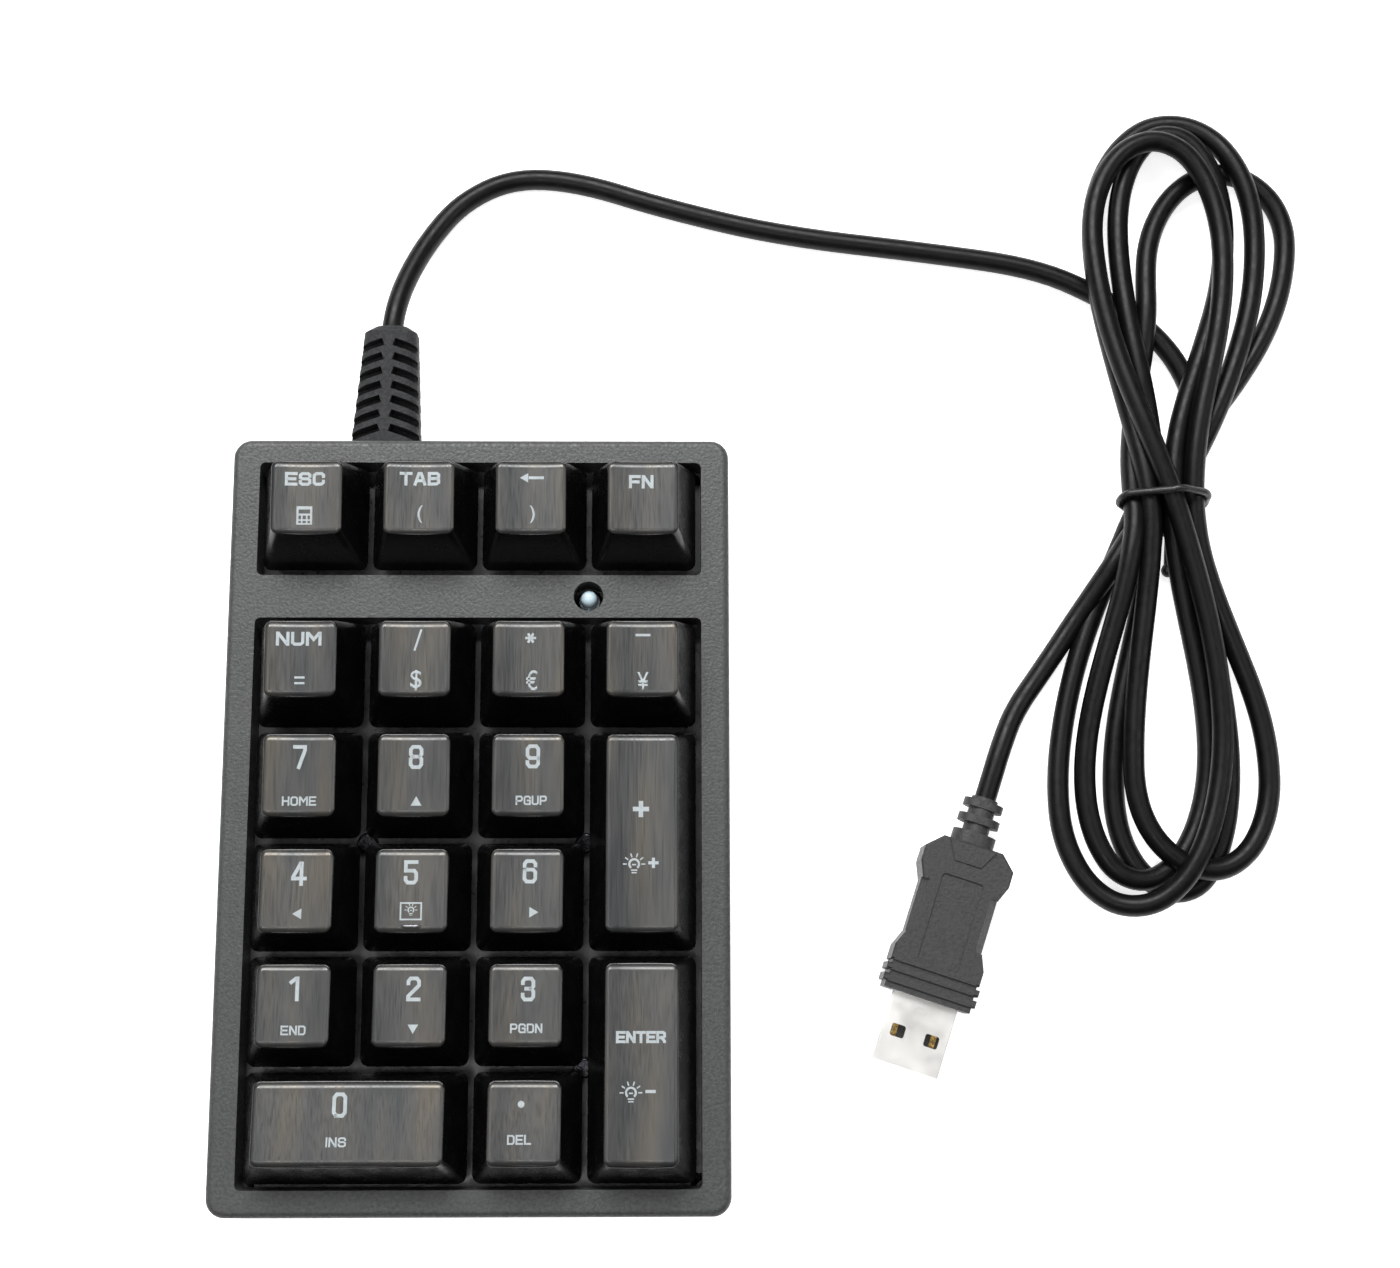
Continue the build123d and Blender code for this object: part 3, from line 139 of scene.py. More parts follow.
LOOKS = {
    "case_plastic": Look("case_plastic", (0.037, 0.039, 0.039), 0.52)
    .mottle(0.0006, 0.30, detail=3).uneven(0.0005, 0.12).bump(0.0005, 0.00010, detail=3),
    "key_plastic": Look("key_plastic", (0.0030, 0.0030, 0.0030), 0.24, Specular_IOR_Level=0.4)
    .mottle(0.004, 0.3).uneven(0.003, 0.07).bump(0.0009, 0.000006),
    "plate_steel": Look("plate_steel", (0.060, 0.060, 0.062), 0.36, metal=0.3)
    .mottle(0.0025, 0.35, stretch=(1, 5, 1)).uneven(0.0012, 0.10).bump(0.0008, 0.00001),
    "board": Look("board", (0.004, 0.010, 0.008), 0.4).mottle(0.003, 0.3).bump(0.0006, 0.00002),
    "switch_plastic": Look("switch_plastic", (0.006, 0.006, 0.006), 0.36)
    .mottle(0.002, 0.3).uneven(0.001, 0.08).bump(0.0006, 0.00001),
    "spring_steel": Look("spring_steel", (0.45, 0.44, 0.42), 0.28, metal=1.0)
    .mottle(0.001, 0.15).uneven(0.0006, 0.08),
    "contact_metal": Look("contact_metal", (0.55, 0.36, 0.20), 0.3, metal=1.0)
    .mottle(0.001, 0.15).uneven(0.0006, 0.08),
    "lamp_plastic": Look("lamp_plastic", (0.50, 0.62, 0.68), 0.22, Coat_Weight=0.6,
                         Subsurface_Weight=0.3, Subsurface_Radius=(0.001, 0.001, 0.001))
    .mottle(0.0012, 0.06).bump(0.0004, 0.000008),
    "chip": Look("chip", (0.012, 0.012, 0.013), 0.5).mottle(0.001, 0.2).bump(0.0003, 0.00001),
    "connector_plastic": Look("connector_plastic", (0.55, 0.53, 0.47), 0.45)
    .mottle(0.002, 0.08).bump(0.0005, 0.00001),
    "wire_insulation": Look("wire_insulation", (0.10, 0.02, 0.02), 0.4)
    .mottle(0.004, 0.5).bump(0.0005, 0.00001),
    "screw_steel": Look("screw_steel", (0.035, 0.036, 0.040), 0.26, metal=0.9)
    .mottle(0.0006, 0.35).uneven(0.0004, 0.1).bump(0.0003, 0.00001),
    "feet_rubber": Look("feet_rubber", (0.012, 0.012, 0.012), 0.72)
    .mottle(0.0015, 0.25).bump(0.0005, 0.00003),
    "stabiliser_plastic": Look("stabiliser_plastic", (0.010, 0.010, 0.010), 0.38)
    .mottle(0.002, 0.25).bump(0.0006, 0.00001),
    "boot_rubber": Look("boot_rubber", (0.020, 0.021, 0.022), 0.72, Specular_IOR_Level=0.25)
    .mottle(0.0005, 0.40, detail=3).uneven(0.0006, 0.08).bump(0.0004, 0.00008, detail=3),
    "cable_jacket": Look("cable_jacket", (0.0028, 0.0028, 0.0028), 0.40, Specular_IOR_Level=0.17)
    .mottle(0.002, 0.25).uneven(0.0015, 0.07).bump(0.0006, 0.00002),
    "tie_rubber": Look("tie_rubber", (0.006, 0.006, 0.006), 0.42)
    .mottle(0.001, 0.25).uneven(0.0008, 0.08).bump(0.0004, 0.00002),
    "plug_plastic": Look("plug_plastic", (0.029, 0.029, 0.030), 0.54, Specular_IOR_Level=0.4)
    .mottle(0.0006, 0.3, detail=3).uneven(0.0006, 0.1).bump(0.0005, 0.00008, detail=3),
    "plug_metal": Look("plug_metal", (0.90, 0.885, 0.86), 0.33, metal=0.8)
    .mottle(0.004, 0.02).uneven(0.004, 0.05),
    "tongue_plastic": Look("tongue_plastic", (0.030, 0.028, 0.026), 0.45)
    .mottle(0.002, 0.08).bump(0.0005, 0.00001),
    "contact_gold": Look("contact_gold", (0.92, 0.62, 0.22), 0.22, metal=1.0)
    .mottle(0.001, 0.12).uneven(0.0008, 0.07),
}

top_look = Look("key_top", (0.072, 0.071, 0.069), 0.38, metal=0.7)
top_look.colors(top_look.noise(0.0045, stretch=(1, 6, 6)), (0.30, (0.054, 0.056, 0.057)),
                (0.50, (0.073, 0.073, 0.071)), (0.72, (0.094, 0.086, 0.074)))
top_look.uneven(0.00022, 0.09, stretch=(1, 40, 1), detail=3)
top_look.bump(0.00016, 0.000004, stretch=(1, 60, 1), detail=2)
# Lighter, glossier rim round the edge of each key top: a painted edge highlight
rim_highlight_look = Look("key_rim_highlight", (0.14, 0.14, 0.145), 0.30, metal=0.7)
rim_highlight_look.mottle(0.001, 0.15).uneven(0.0008, 0.06)
legend_look = Look("legend", (0.32, 0.355, 0.37), 0.45)
legend_look.mottle(0.0011, 0.10, detail=3).uneven(0.0006, 0.08)
legend_look.bump(0.0003, 0.000006)

CAD_SLOTS = {
    "case_plastic": ["top_case", "bottom_case"],
    "plate_steel": ["switch_plate"],
    "board": ["circuit_board"],
    "switch_plastic": ["switch_lower_housings", "switch_upper_housings"],
    "spring_steel": ["switch_springs", "stabiliser_wire_plus", "stabiliser_wire_enter",
                     "stabiliser_wire_0"],
    "contact_metal": ["switch_contacts", "lamp_leads"],
    "lamp_plastic": ["indicator_lamp", "key_lamps"],
    "chip": ["controller_chip"],
    "connector_plastic": ["cable_socket", "lead_connector"],
    "wire_insulation": ["inner_wires"],
    "screw_steel": ["plate_screws", "case_screws"],
    "feet_rubber": ["rubber_feet"],
    "stabiliser_plastic": ["stabiliser_housings", "stabiliser_inserts_plus",
                           "stabiliser_inserts_enter", "stabiliser_inserts_0"],
    "boot_rubber": ["strain_relief"],
    "plug_plastic": ["plug_housing"],
    "plug_metal": ["plug_shell"],
    "tongue_plastic": ["plug_tongue"],
    "contact_gold": ["plug_contacts"],
    "key_plastic": [n for n in NODES if n.startswith("key_") and n != "key_lamps"],
}
for slot_name, members in CAD_SLOTS.items():
    for member in members:
        for holder in NODES[member].material_slots:
            holder.material = LOOKS[slot_name].mat


def add_piece(name, mesh, body, slot_name, *looks):
    """Put a finished mesh or curve in the scene, riding a CAD body."""
    piece = bpy.data.objects.new(name, mesh)
    SCENE.collection.objects.link(piece)
    for look_used in looks:
        mesh.materials.append(look_used.mat)
    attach(piece, body)
    return piece


# ---------------------------------------------------------------- cable
CABLE_D = 3.9
TIE_Y = 59.0
LEAD_ROUTE = [
    (-17.9, 90.5, 8.0), (-17.6, 94.0, 8.0), (-15.8, 101.0, 6.3), (-12.1, 109.4, 3.9),
    (-6.2, 117.6, 2.4), (3.5, 122.7, 2.0), (16.0, 121.9, 2.0), (32.0, 116.7, 2.0),
    (54.0, 111.3, 2.0), (82.0, 108.0, 2.0), (102.0, 105.1, 2.0), (114.0, 99.6, 2.0),
]
INTO_HANK = [(122.5, 93.8, 2.0), (128.6, 86.5, 2.0), (131.8, 77.0, 2.1), (130.6, 67.5, 2.8)]
TAIL_ROUTE = [
    (118.6, 54.2, 4.8), (115.0, 48.4, 5.2), (111.2, 42.8, 3.4), (107.2, 37.0, 2.1),
    (101.2, 28.2, 2.1), (95.5, 20.4, 2.9), (92.6, 13.2, 4.1), (91.2, 8.9, 4.25),
    (89.69, 4.36, 4.25),
]
# The half turns of the hank in winding order: where each starts under the tie (x, z, slant),
# the widest point of its first leg, its end, and the widest point of its second leg (x, y, z).
# A slant of 1 is a strand that crosses the tie at an angle, 0 one that passes it square.
HALF_TURNS = [
    ((128.9, 3.3, 0), (134.2, 11, 1.8), (124.5, -12.2, 1.8), (112.9, 5, 1.9)),
    ((121.4, 6.4, 0), (116.9, 110, 5.3), (127.0, 130.8, 5.3), (137.6, 111, 5.3)),
    ((125.3, 3.3, 0), (131.2, 14, 4.6), (117.0, -10.2, 4.6), (107.8, 7, 4.6)),
    ((118.0, 6.7, 0), (122.4, 102, 1.8), (138.2, 123.6, 1.8), (150.0, 111, 1.8)),
    ((118.4, 3.3, 1), (102.6, 4, 2.2), (114.8, -14.6, 5.0), (132.2, 17, 7.8)),
    ((124.0, 9.4, 1), (111.5, 110, 8.6), (124.5, 128.0, 8.6), (136.2, 107, 8.6)),
    ((128.3, 6.6, 0), (141.0, 9, 2.2), (129.5, -8.4, 4.8), (115.9, 8, 5.4)),
    ((119.9, 9.5, 0), (112.6, 110, 5.0), (128.5, 132.8, 4.0), (142.9, 112, 5.0)),
]
HANK_EXIT = (121.9, 3.5, 1)
ROUND_UP = 1.035     # a control point stands this much outside the round end it draws
LEG_POINTS, END_POINTS = 7, 6


def between(a, b, share):
    """Straight from a to b."""
    return a + (b - a) * share


def leg(tie_point, wide_point, share):
    """A point on a leg, which is along Y at its widest point and leaves the tie square or slanting."""
    square = (1 - math.cos(math.pi * share)) / 2
    slanting = math.sin(math.pi / 2 * share)
    eased = between(square, slanting, tie_point[2])
    z_share = min(1.0, share * 2.2)
    z_eased = (1 - math.cos(math.pi * z_share)) / 2
    return (between(tie_point[0], wide_point[0], eased), between(TIE_Y, wide_point[1], share),
            between(tie_point[1], wide_point[2], z_eased))


def half_turn(start, wide_out, apex, wide_back, end):
    """From the tie round one end of the hank and back to the tie."""
    points = [leg(start, wide_out, i / LEG_POINTS) for i in range(LEG_POINTS)]
    for index in range(2 * END_POINTS + 1):
        angle = math.pi * index / (2 * END_POINTS)
        wide = wide_out if index <= END_POINTS else wide_back
        side, ahead = abs(math.cos(angle)), math.sin(angle)
        stretch = between(1.0, ROUND_UP, ahead)
        points.append((between(apex[0], wide[0], side),
                       between(wide[1], apex[1], ahead * stretch),
                       between(apex[2], wide[2], side ** 2)))
    points += [leg(end, wide_back, 1 - i / LEG_POINTS) for i in range(1, LEG_POINTS)]
    return points


def wound_hank():
    """All half turns as one line of points, evenly spaced."""
    line = []
    for index, (start, *shape) in enumerate(HALF_TURNS):
        last = index + 1 == len(HALF_TURNS)
        end = HANK_EXIT if last else HALF_TURNS[index + 1][0]
        line += half_turn(start, *shape, end)
    line.append((HANK_EXIT[0], TIE_Y, HANK_EXIT[1]))
    line = np.array(line)
    step = np.linalg.norm(np.diff(line, axis=0), axis=1)
    along = np.concatenate([[0], np.cumsum(step)])
    even = np.linspace(0, along[-1], int(along[-1] / 3.0))
    return np.stack([np.interp(even, along, line[:, axis]) for axis in range(3)], axis=1)


def clear_of(strand, others, gap, allowed):
    """How far each point has to move to stand a gap off the others."""
    offset = strand[:, None, :] - others[None, :, :]
    distance = np.linalg.norm(offset, axis=2) + 1e-9
    push = np.where(allowed & (distance < gap), (gap - distance) / distance, 0.0)
    upright = np.where(np.abs(offset[:, :, 2]) < 0.5, 0.5, offset[:, :, 2])
    return push, offset, upright


def smoothed(values):
    """Each value drawn to the middle of its neighbours."""
    out = values.copy()
    out[1:-1] = 0.5 * values[1:-1] + 0.25 * (values[:-2] + values[2:])
    return out


SETTLE_ROUNDS, NEIGHBOURS = 300, 6       # points nearer along the cable than this may touch
GIVE = np.array([0.12, 0.04, 0.25])      # share of an overlap cleared per round, along X, Y and Z
LIFT_SHARE, MOST_MOVE, SINK = 0.4, 0.5, 0.02
HOLD = 0.995                             # draws each strand back to where it was drawn
TIE_SPAN = (118.0, 129.4)                # X between which the tie holds the strands
UNDER_TIE, OVER_FLOOR = 1.45, 0.05       # clearance under the strands, at the tie and elsewhere


def settle(drawn, fixed):
    """Lift crossing strands off each other until they lie on each other and on the floor."""
    gap = CABLE_D * 1.01
    order = np.arange(len(drawn))
    own = np.abs(order[:, None] - order[None, :]) > NEIGHBOURS
    free = (np.minimum(order, order[::-1]) > NEIGHBOURS)[:, None]
    near_tie = np.abs(drawn[:, 1] - TIE_Y) < 6.0
    strand = drawn.copy()
    for _ in range(SETTLE_ROUNDS):
        push, offset, _ = clear_of(strand, strand, gap, own)
        move = (push[:, :, None] * offset).sum(axis=1) * GIVE
        push, _, upright = clear_of(strand, fixed, gap, free)
        move[:, 2] += (push * upright).sum(axis=1) * LIFT_SHARE
        strand = strand + np.clip(move, -MOST_MOVE, MOST_MOVE)
        strand[1:-1, 2] -= SINK
        shift = strand[:, :2] - drawn[:, :2]
        for _ in range(3):
            shift = smoothed(shift)
            strand[:, 2] = smoothed(strand[:, 2])
        strand[:, :2] = drawn[:, :2] + shift * HOLD
        strand[near_tie, 0] = np.clip(strand[near_tie, 0], *TIE_SPAN)
        floor = np.where(np.abs(strand[:, 1] - TIE_Y) < 2.0, UNDER_TIE, OVER_FLOOR)
        strand[:, 2] = np.maximum(strand[:, 2], CABLE_D / 2 + floor)
    return strand


def sampled(points, step=2.5):
    """Points along straight runs, only used as what the hank lies on."""
    found = []
    for a, b in zip(points, points[1:]):
        a, b = np.array(a), np.array(b)
        pieces = max(1, int(np.linalg.norm(b - a) / step))
        found += [a + (b - a) * i / pieces for i in range(pieces)]
    return np.array(found)


under = np.concatenate([sampled(LEAD_ROUTE[-2:] + INTO_HANK[:3]), sampled(TAIL_ROUTE[:4])])
hank = settle(wound_hank(), under)
cable_points = LEAD_ROUTE + INTO_HANK + [tuple(p) for p in hank[::2]] + TAIL_ROUTE

cable_curve = bpy.data.curves.new("cable", "CURVE")
cable_curve.dimensions = "3D"
cable_curve.bevel_depth = CABLE_D / 2 * MM
cable_curve.bevel_resolution = 6
cable_curve.use_fill_caps = True
spline = cable_curve.splines.new("NURBS")
spline.points.add(len(cable_points) - 1)
for place, point in zip(spline.points, cable_points):
    place.co = (*[c * MM for c in point], 1.0)
spline.order_u = 3
spline.use_endpoint_u = True
spline.resolution_u = 6
cable = add_piece("cable", cable_curve, "case", "cable_jacket", LOOKS["cable_jacket"])
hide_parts("cable_lead", "cable_hank", "cable_tail")

# ---------------------------------------------------------------- tie round the hank
TIE_R = 0.68
crossings = hank[np.abs(hank[:, 1] - TIE_Y) < 1.6][:, [0, 2]]
ring = []
for index in range(72):
    angle = 2 * math.pi * index / 72
    way = np.array([math.cos(angle), math.sin(angle)])
    far = crossings[np.argmax(crossings @ way)] + way * (CABLE_D / 2 + TIE_R)
    ring.append((far[0], TIE_Y + 0.8 * math.sin(angle) + 0.3 * way[0], max(far[1], TIE_R + 0.03)))
tie_curve = bpy.data.curves.new("tie_ring", "CURVE")
tie_curve.dimensions = "3D"
tie_curve.bevel_depth = TIE_R * MM
tie_curve.bevel_resolution = 5
tie_curve.use_fill_caps = True


def tie_strand(points, cyclic):
    """One smooth run of the tie's cord."""
    run = tie_curve.splines.new("NURBS")
    run.points.add(len(points) - 1)
    for place, point in zip(run.points, points):
        place.co = (*[c * MM for c in point], 1.0)
    run.order_u = 3
    run.use_cyclic_u = cyclic
    run.use_endpoint_u = not cyclic


tie_strand(ring, True)
tie_strand([(125.6, 58.4, 1.0), (125.5, 56.0, 1.3), (125.4, 53.0, 1.2), (125.2, 50.0, 1.0),
            (125.0, 47.6, 1.2)], False)
for knot_turn in range(2):
    centre = (125.5, 55.2 - 1.1 * knot_turn, 1.35)
    tie_strand([(centre[0] + 0.95 * math.cos(a), centre[1] + 0.25 * math.sin(a),
                 centre[2] + 0.6 * math.sin(a)) for a in [math.pi * k / 4 for k in range(8)]], True)
tie = add_piece("tie_ring", tie_curve, "case", "tie_rubber", LOOKS["tie_rubber"])
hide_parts("cable_tie")

BALL_R = 1.2
ball = bmesh.new()
bmesh.ops.create_icosphere(ball, subdivisions=4, radius=BALL_R * MM)
for vertex in ball.verts:
    flat = 1.0 - 0.12 * max(0.0, vertex.co.y / (BALL_R * MM))
    vertex.co = Vector((vertex.co.x * flat, vertex.co.y * 1.12, vertex.co.z * flat))
    vertex.co += Vector((125.0, 46.9, 1.28)) * MM
ball_mesh = bpy.data.meshes.new("tie_ball")
ball.to_mesh(ball_mesh)
ball.free()
for face in ball_mesh.polygons:
    face.use_smooth = True
tie_ball = add_piece("tie_ball", ball_mesh, "case", "tie_rubber", LOOKS["tie_rubber"])

# ---------------------------------------------------------------- key tops
KEY_NAMES = [n for n in NODES if n.startswith("key_") and n != "key_lamps"]
WALL_DRAFT = 3.05        # from the cap's bottom edge in to its top, each side


class Top:
    """The scooped top of one key, met by rays from above."""

    def __init__(self, key):
        mesh = NODES[key].data
        self.tree = BVHTree.FromPolygons([v.co for v in mesh.vertices],
                                         [p.vertices for p in mesh.polygons])
        low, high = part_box(key)
        self.low, self.high = low / MM, high / MM
        self.middle = ((self.low.x + self.high.x) / 2, (self.low.y + self.high.y) / 2)
        self.left, self.right = self.low.x + WALL_DRAFT, self.high.x - WALL_DRAFT
        self.front = self.edge(self.low.y, 1)
        self.back = self.edge(self.high.y, -1)

    def hit(self, x, y):
        """Where a ray straight down meets the key, in millimetres, and the surface's normal."""
        place, normal, _, _ = self.tree.ray_cast(Vector((x, y, 50.0)) * MM, Vector((0, 0, -1)))
        return (place / MM, normal) if place else (None, None)

    def edge(self, start, way):
        """Where the top begins, coming in from the cap's skirt."""
        y = start
        for _ in range(200):
            place, normal = self.hit(self.middle[0], y)
            if place and normal.z > 0.97 and place.z > self.high.z - 3.2:
                return y
            y += way * 0.05
        return start

    def height(self, x, y):
        """Height of the top here, carried on level past its edges."""
        x = min(max(x, self.left + 0.35), self.right - 0.35)
        y = min(max(y, self.front + 0.3), self.back - 0.3)
        return self.hit(x, y)[0].z


TOPS = {key: Top(key) for key in KEY_NAMES}


def cut_across(shape, low, high, step):
    """Cut a flat shape along X and Y so that it can follow the scoop."""
    for axis in (0, 1):
        way = Vector((1, 0, 0)) if axis == 0 else Vector((0, 1, 0))
        spacing = step if axis == 0 else step * 1.5
        count = int((high[axis] - low[axis]) / spacing)
        for index in range(1, count + 1):
            at = Vector((0, 0, 0))
            at[axis] = low[axis] + (high[axis] - low[axis]) * index / (count + 1)
            everything = shape.verts[:] + shape.edges[:] + shape.faces[:]
            bmesh.ops.bisect_plane(shape, geom=everything, plane_co=at, plane_no=way, dist=1e-5)


def rounded_outline(low, high, radius, corner_points=6):
    """Corner points of a rounded rectangle."""
    outline = []
    corners = [(high[0] - radius, high[1] - radius, 0), (low[0] + radius, high[1] - radius, 90),
               (low[0] + radius, low[1] + radius, 180), (high[0] - radius, low[1] + radius, 270)]
    for x, y, start in corners:
        for index in range(corner_points + 1):
            angle = math.radians(start + 90 * index / corner_points)
            outline.append((x + radius * math.cos(angle), y + radius * math.sin(angle)))
    return outline


TOP_INSET, TOP_LIFT, RIM_W, RIM_LIFT = 0.10, 0.05, 0.20, 0.03
TOP_CORNER_R, TOP_SKIN, LEGEND_SKIN = 1.15, 0.00012, 0.00003

for key in KEY_NAMES:
    top = TOPS[key]
    low = (top.left + TOP_INSET, top.front + TOP_INSET)
    high = (top.right - TOP_INSET, top.back - TOP_INSET)
    panel = bmesh.new()
    corners = [panel.verts.new((x, y, 0)) for x, y in rounded_outline(low, high, TOP_CORNER_R)]
    panel.faces.new(corners)
    inner = bmesh.ops.inset_region(panel, faces=panel.faces[:], thickness=RIM_W, use_even_offset=True)
    # the inset ring round the top takes the rim colour, a painted edge highlight
    for face in inner["faces"]:
        face.material_index = 1
    cut_across(panel, low, high, 0.7)
    for vertex in panel.verts:
        lift = TOP_LIFT + (RIM_LIFT if vertex.is_boundary else 0.0)
        vertex.co = Vector((vertex.co.x, vertex.co.y, top.height(*vertex.co.xy) + lift)) * MM
    bmesh.ops.recalc_face_normals(panel, faces=panel.faces[:])
    if sum(f.normal.z for f in panel.faces) < 0:
        bmesh.ops.reverse_faces(panel, faces=panel.faces[:])
    panel_mesh = bpy.data.meshes.new(f"{key}_top")
    panel.to_mesh(panel_mesh)
    panel.free()
    for face in panel_mesh.polygons:
        face.use_smooth = True
    panel_piece = add_piece(f"{key}_top", panel_mesh, key, "key_plastic", top_look, rim_highlight_look)
    skin = panel_piece.modifiers.new("thickness", "SOLIDIFY")
    skin.thickness = TOP_SKIN
    skin.offset = -1.0

# ---------------------------------------------------------------- legends


def legend_from(shape, key, name, lift=0.02, look=legend_look):
    """Lay a flat shape drawn in millimetres onto a key's top."""
    top = TOPS[key]
    xs = [v.co.x for v in shape.verts]
    ys = [v.co.y for v in shape.verts]
    cut_across(shape, (min(xs), min(ys)), (max(xs), max(ys)), 0.6)
    base = TOP_LIFT + lift
    for vertex in shape.verts:
        z = top.height(vertex.co.x, vertex.co.y) + base
        vertex.co = Vector((vertex.co.x, vertex.co.y, z)) * MM
    mesh = bpy.data.meshes.new(name)
    shape.to_mesh(mesh)
    shape.free()
    piece = add_piece(name, mesh, key, "key_plastic", look)
    skin = piece.modifiers.new("thickness", "SOLIDIFY")
    skin.thickness = LEGEND_SKIN
    skin.offset = -1.0
    return piece


def text_shape(text, centre, width, height, weight=0.01):
    """A currency sign or bracket fitted to a box, as a flat shape."""
    curve = bpy.data.curves.new("lettering", "FONT")
    curve.body = text
    curve.offset = weight
    curve.fill_mode = "FRONT"
    curve.resolution_u = 5
    holder = bpy.data.objects.new("lettering", curve)
    SCENE.collection.objects.link(holder)
    ready = holder.evaluated_get(bpy.context.evaluated_depsgraph_get())
    mesh = bpy.data.meshes.new_from_object(ready)
    bpy.data.objects.remove(holder)
    bpy.data.curves.remove(curve)
    shape = bmesh.new()
    shape.from_mesh(mesh)
    bpy.data.meshes.remove(mesh)
    bmesh.ops.remove_doubles(shape, verts=shape.verts[:], dist=1e-5)
    xs = [v.co.x for v in shape.verts]
    ys = [v.co.y for v in shape.verts]
    for vertex in shape.verts:
        share_x = (vertex.co.x - min(xs)) / (max(xs) - min(xs)) - 0.5
        share_y = (vertex.co.y - min(ys)) / (max(ys) - min(ys)) - 0.5
        vertex.co = Vector((centre[0] + share_x * width, centre[1] + share_y * height, 0))
    return shape


# Block lettering: the middle lines of each sign's strokes on a field 4 wide and 6 high
ROUND_BOX = [(0.9, 0), (3.1, 0), (4, 0.9), (4, 5.1), (3.1, 6), (0.9, 6), (0, 5.1), (0, 0.9), (0.9, 0),
             (1.2, 0)]
P_BOWL = [(0, 0), (0, 6), (3.2, 6), (4, 5.2), (4, 3.4), (3.2, 2.6), (0, 2.6)]
SIGNS = {
    "0": [ROUND_BOX], "O": [ROUND_BOX],
    "1": [[(0, 4.9), (1.3, 6), (1.7, 6), (1.7, 0)]],
    "2": [[(0, 4.6), (0, 5.2), (0.8, 6), (3.2, 6), (4, 5.2), (4, 4.0), (0, 0.9), (0, 0), (4, 0)]],
    "3": [[(0, 4.7), (0, 5.2), (0.8, 6), (3.2, 6), (4, 5.2), (4, 3.8), (3.2, 3.1), (1.3, 3.1)],
          [(3.2, 3.1), (4, 2.3), (4, 0.8), (3.2, 0), (0.8, 0), (0, 0.8), (0, 1.4)]],
    "4": [[(2.9, 0), (2.9, 6), (2.5, 6), (0, 2.0), (0, 1.6), (4.2, 1.6)]],
    "5": [[(4, 6), (0, 6), (0, 3.5), (3.2, 3.5), (4, 2.7), (4, 0.8), (3.2, 0), (0.8, 0), (0, 0.8),
           (0, 1.4)]],
    "6": [[(4, 4.7), (4, 5.2), (3.2, 6), (0.8, 6), (0, 5.2), (0, 0.8), (0.8, 0), (3.2, 0), (4, 0.8),
           (4, 2.7), (3.2, 3.5), (0, 3.5)]],
    "7": [[(0, 6), (4, 6), (4, 5.0), (1.7, 0)]],
    "8": [[(0.8, 3.1), (0, 3.8), (0, 5.2), (0.8, 6), (3.2, 6), (4, 5.2), (4, 3.8), (3.2, 3.1), (0.8, 3.1),
           (0, 2.4), (0, 0.8), (0.8, 0), (3.2, 0), (4, 0.8), (4, 2.4), (3.2, 3.1)]],
    "9": [[(0, 1.3), (0, 0.8), (0.8, 0), (3.2, 0), (4, 0.8), (4, 5.2), (3.2, 6), (0.8, 6), (0, 5.2),
           (0, 3.3), (0.8, 2.5), (4, 2.5)]],
    "A": [[(0, 0), (1.5, 6), (2.5, 6), (4, 0)], [(0.7, 1.9), (3.3, 1.9)]],
    "B": [[(0, 3.1), (3.2, 3.1), (4, 2.3), (4, 0.8), (3.2, 0), (0, 0), (0, 6), (3.2, 6), (4, 5.2),
           (4, 3.9), (3.2, 3.1)]],
    "C": [[(4, 4.4), (4, 5.1), (3.1, 6), (0.9, 6), (0, 5.1), (0, 0.9), (0.9, 0), (3.1, 0), (4, 0.9),
           (4, 1.6)]],
    "D": [[(0, 0), (0, 6), (3.1, 6), (4, 5.1), (4, 0.9), (3.1, 0), (0, 0)]],
    "E": [[(4, 6), (0, 6), (0, 0), (4, 0)], [(0, 3), (3.5, 3)]],
    "F": [[(4, 6), (0, 6), (0, 0)], [(0, 2.9), (3.5, 2.9)]],
    "G": [[(4, 4.7), (4, 5.2), (3.2, 6), (0.8, 6), (0, 5.2), (0, 0.8), (0.8, 0), (4, 0), (4, 2.9),
           (2.3, 2.9)]],
    "H": [[(0, 0), (0, 6)], [(4, 0), (4, 6)], [(0, 3), (4, 3)]],
    "I": [[(0, 0), (0, 6)]],
    "L": [[(0, 6), (0, 0), (3.7, 0)]],
    "M": [[(0, 0), (0, 6), (0.4, 6), (2.5, 2.6), (4.6, 6), (5, 6), (5, 0)]],
    "N": [[(0, 0), (0, 6), (0.3, 6), (3.7, 0), (4, 0), (4, 6)]],
    "P": [P_BOWL],
    "R": [P_BOWL, [(2.2, 2.6), (4, 0.4), (4, 0)]],
    "S": [[(4, 4.6), (4, 5.2), (3.2, 6), (0.8, 6), (0, 5.2), (0, 3.8), (0.8, 3.1), (3.2, 3.1), (4, 2.3),
           (4, 0.8), (3.2, 0), (0.8, 0), (0, 0.8), (0, 1.5)]],
    "T": [[(0, 6), (4, 6)], [(2, 6), (2, 0)]],
    "U": [[(0, 6), (0, 0.9), (0.9, 0), (3.1, 0), (4, 0.9), (4, 6)]],
    "=": [[(0, 4.4), (4, 4.4)], [(0, 1.6), (4, 1.6)]],
    "/": [[(0, 0), (4, 6)]],
}


def stroke_quads(points, weight):
    """A line of that weight with mitred corners, as quads."""
    points = [Vector(p) for p in points]
    ways = [(b - a).normalized() for a, b in zip(points, points[1:])]
    sides = []
    for index in range(len(points)):
        before, after = ways[max(0, index - 1)], ways[min(index, len(ways) - 1)]
        middle = (before + after).normalized()
        reach = weight / 2 / max(0.5, middle.dot(after))
        sides.append(Vector((-middle.y, middle.x)) * reach)
    quads = []
    for index in range(len(points) - 1):
        a, b, left, right = points[index], points[index + 1], sides[index], sides[index + 1]
        quads.append([tuple(a + left), tuple(a - left), tuple(b - right), tuple(b + right)])
    return quads


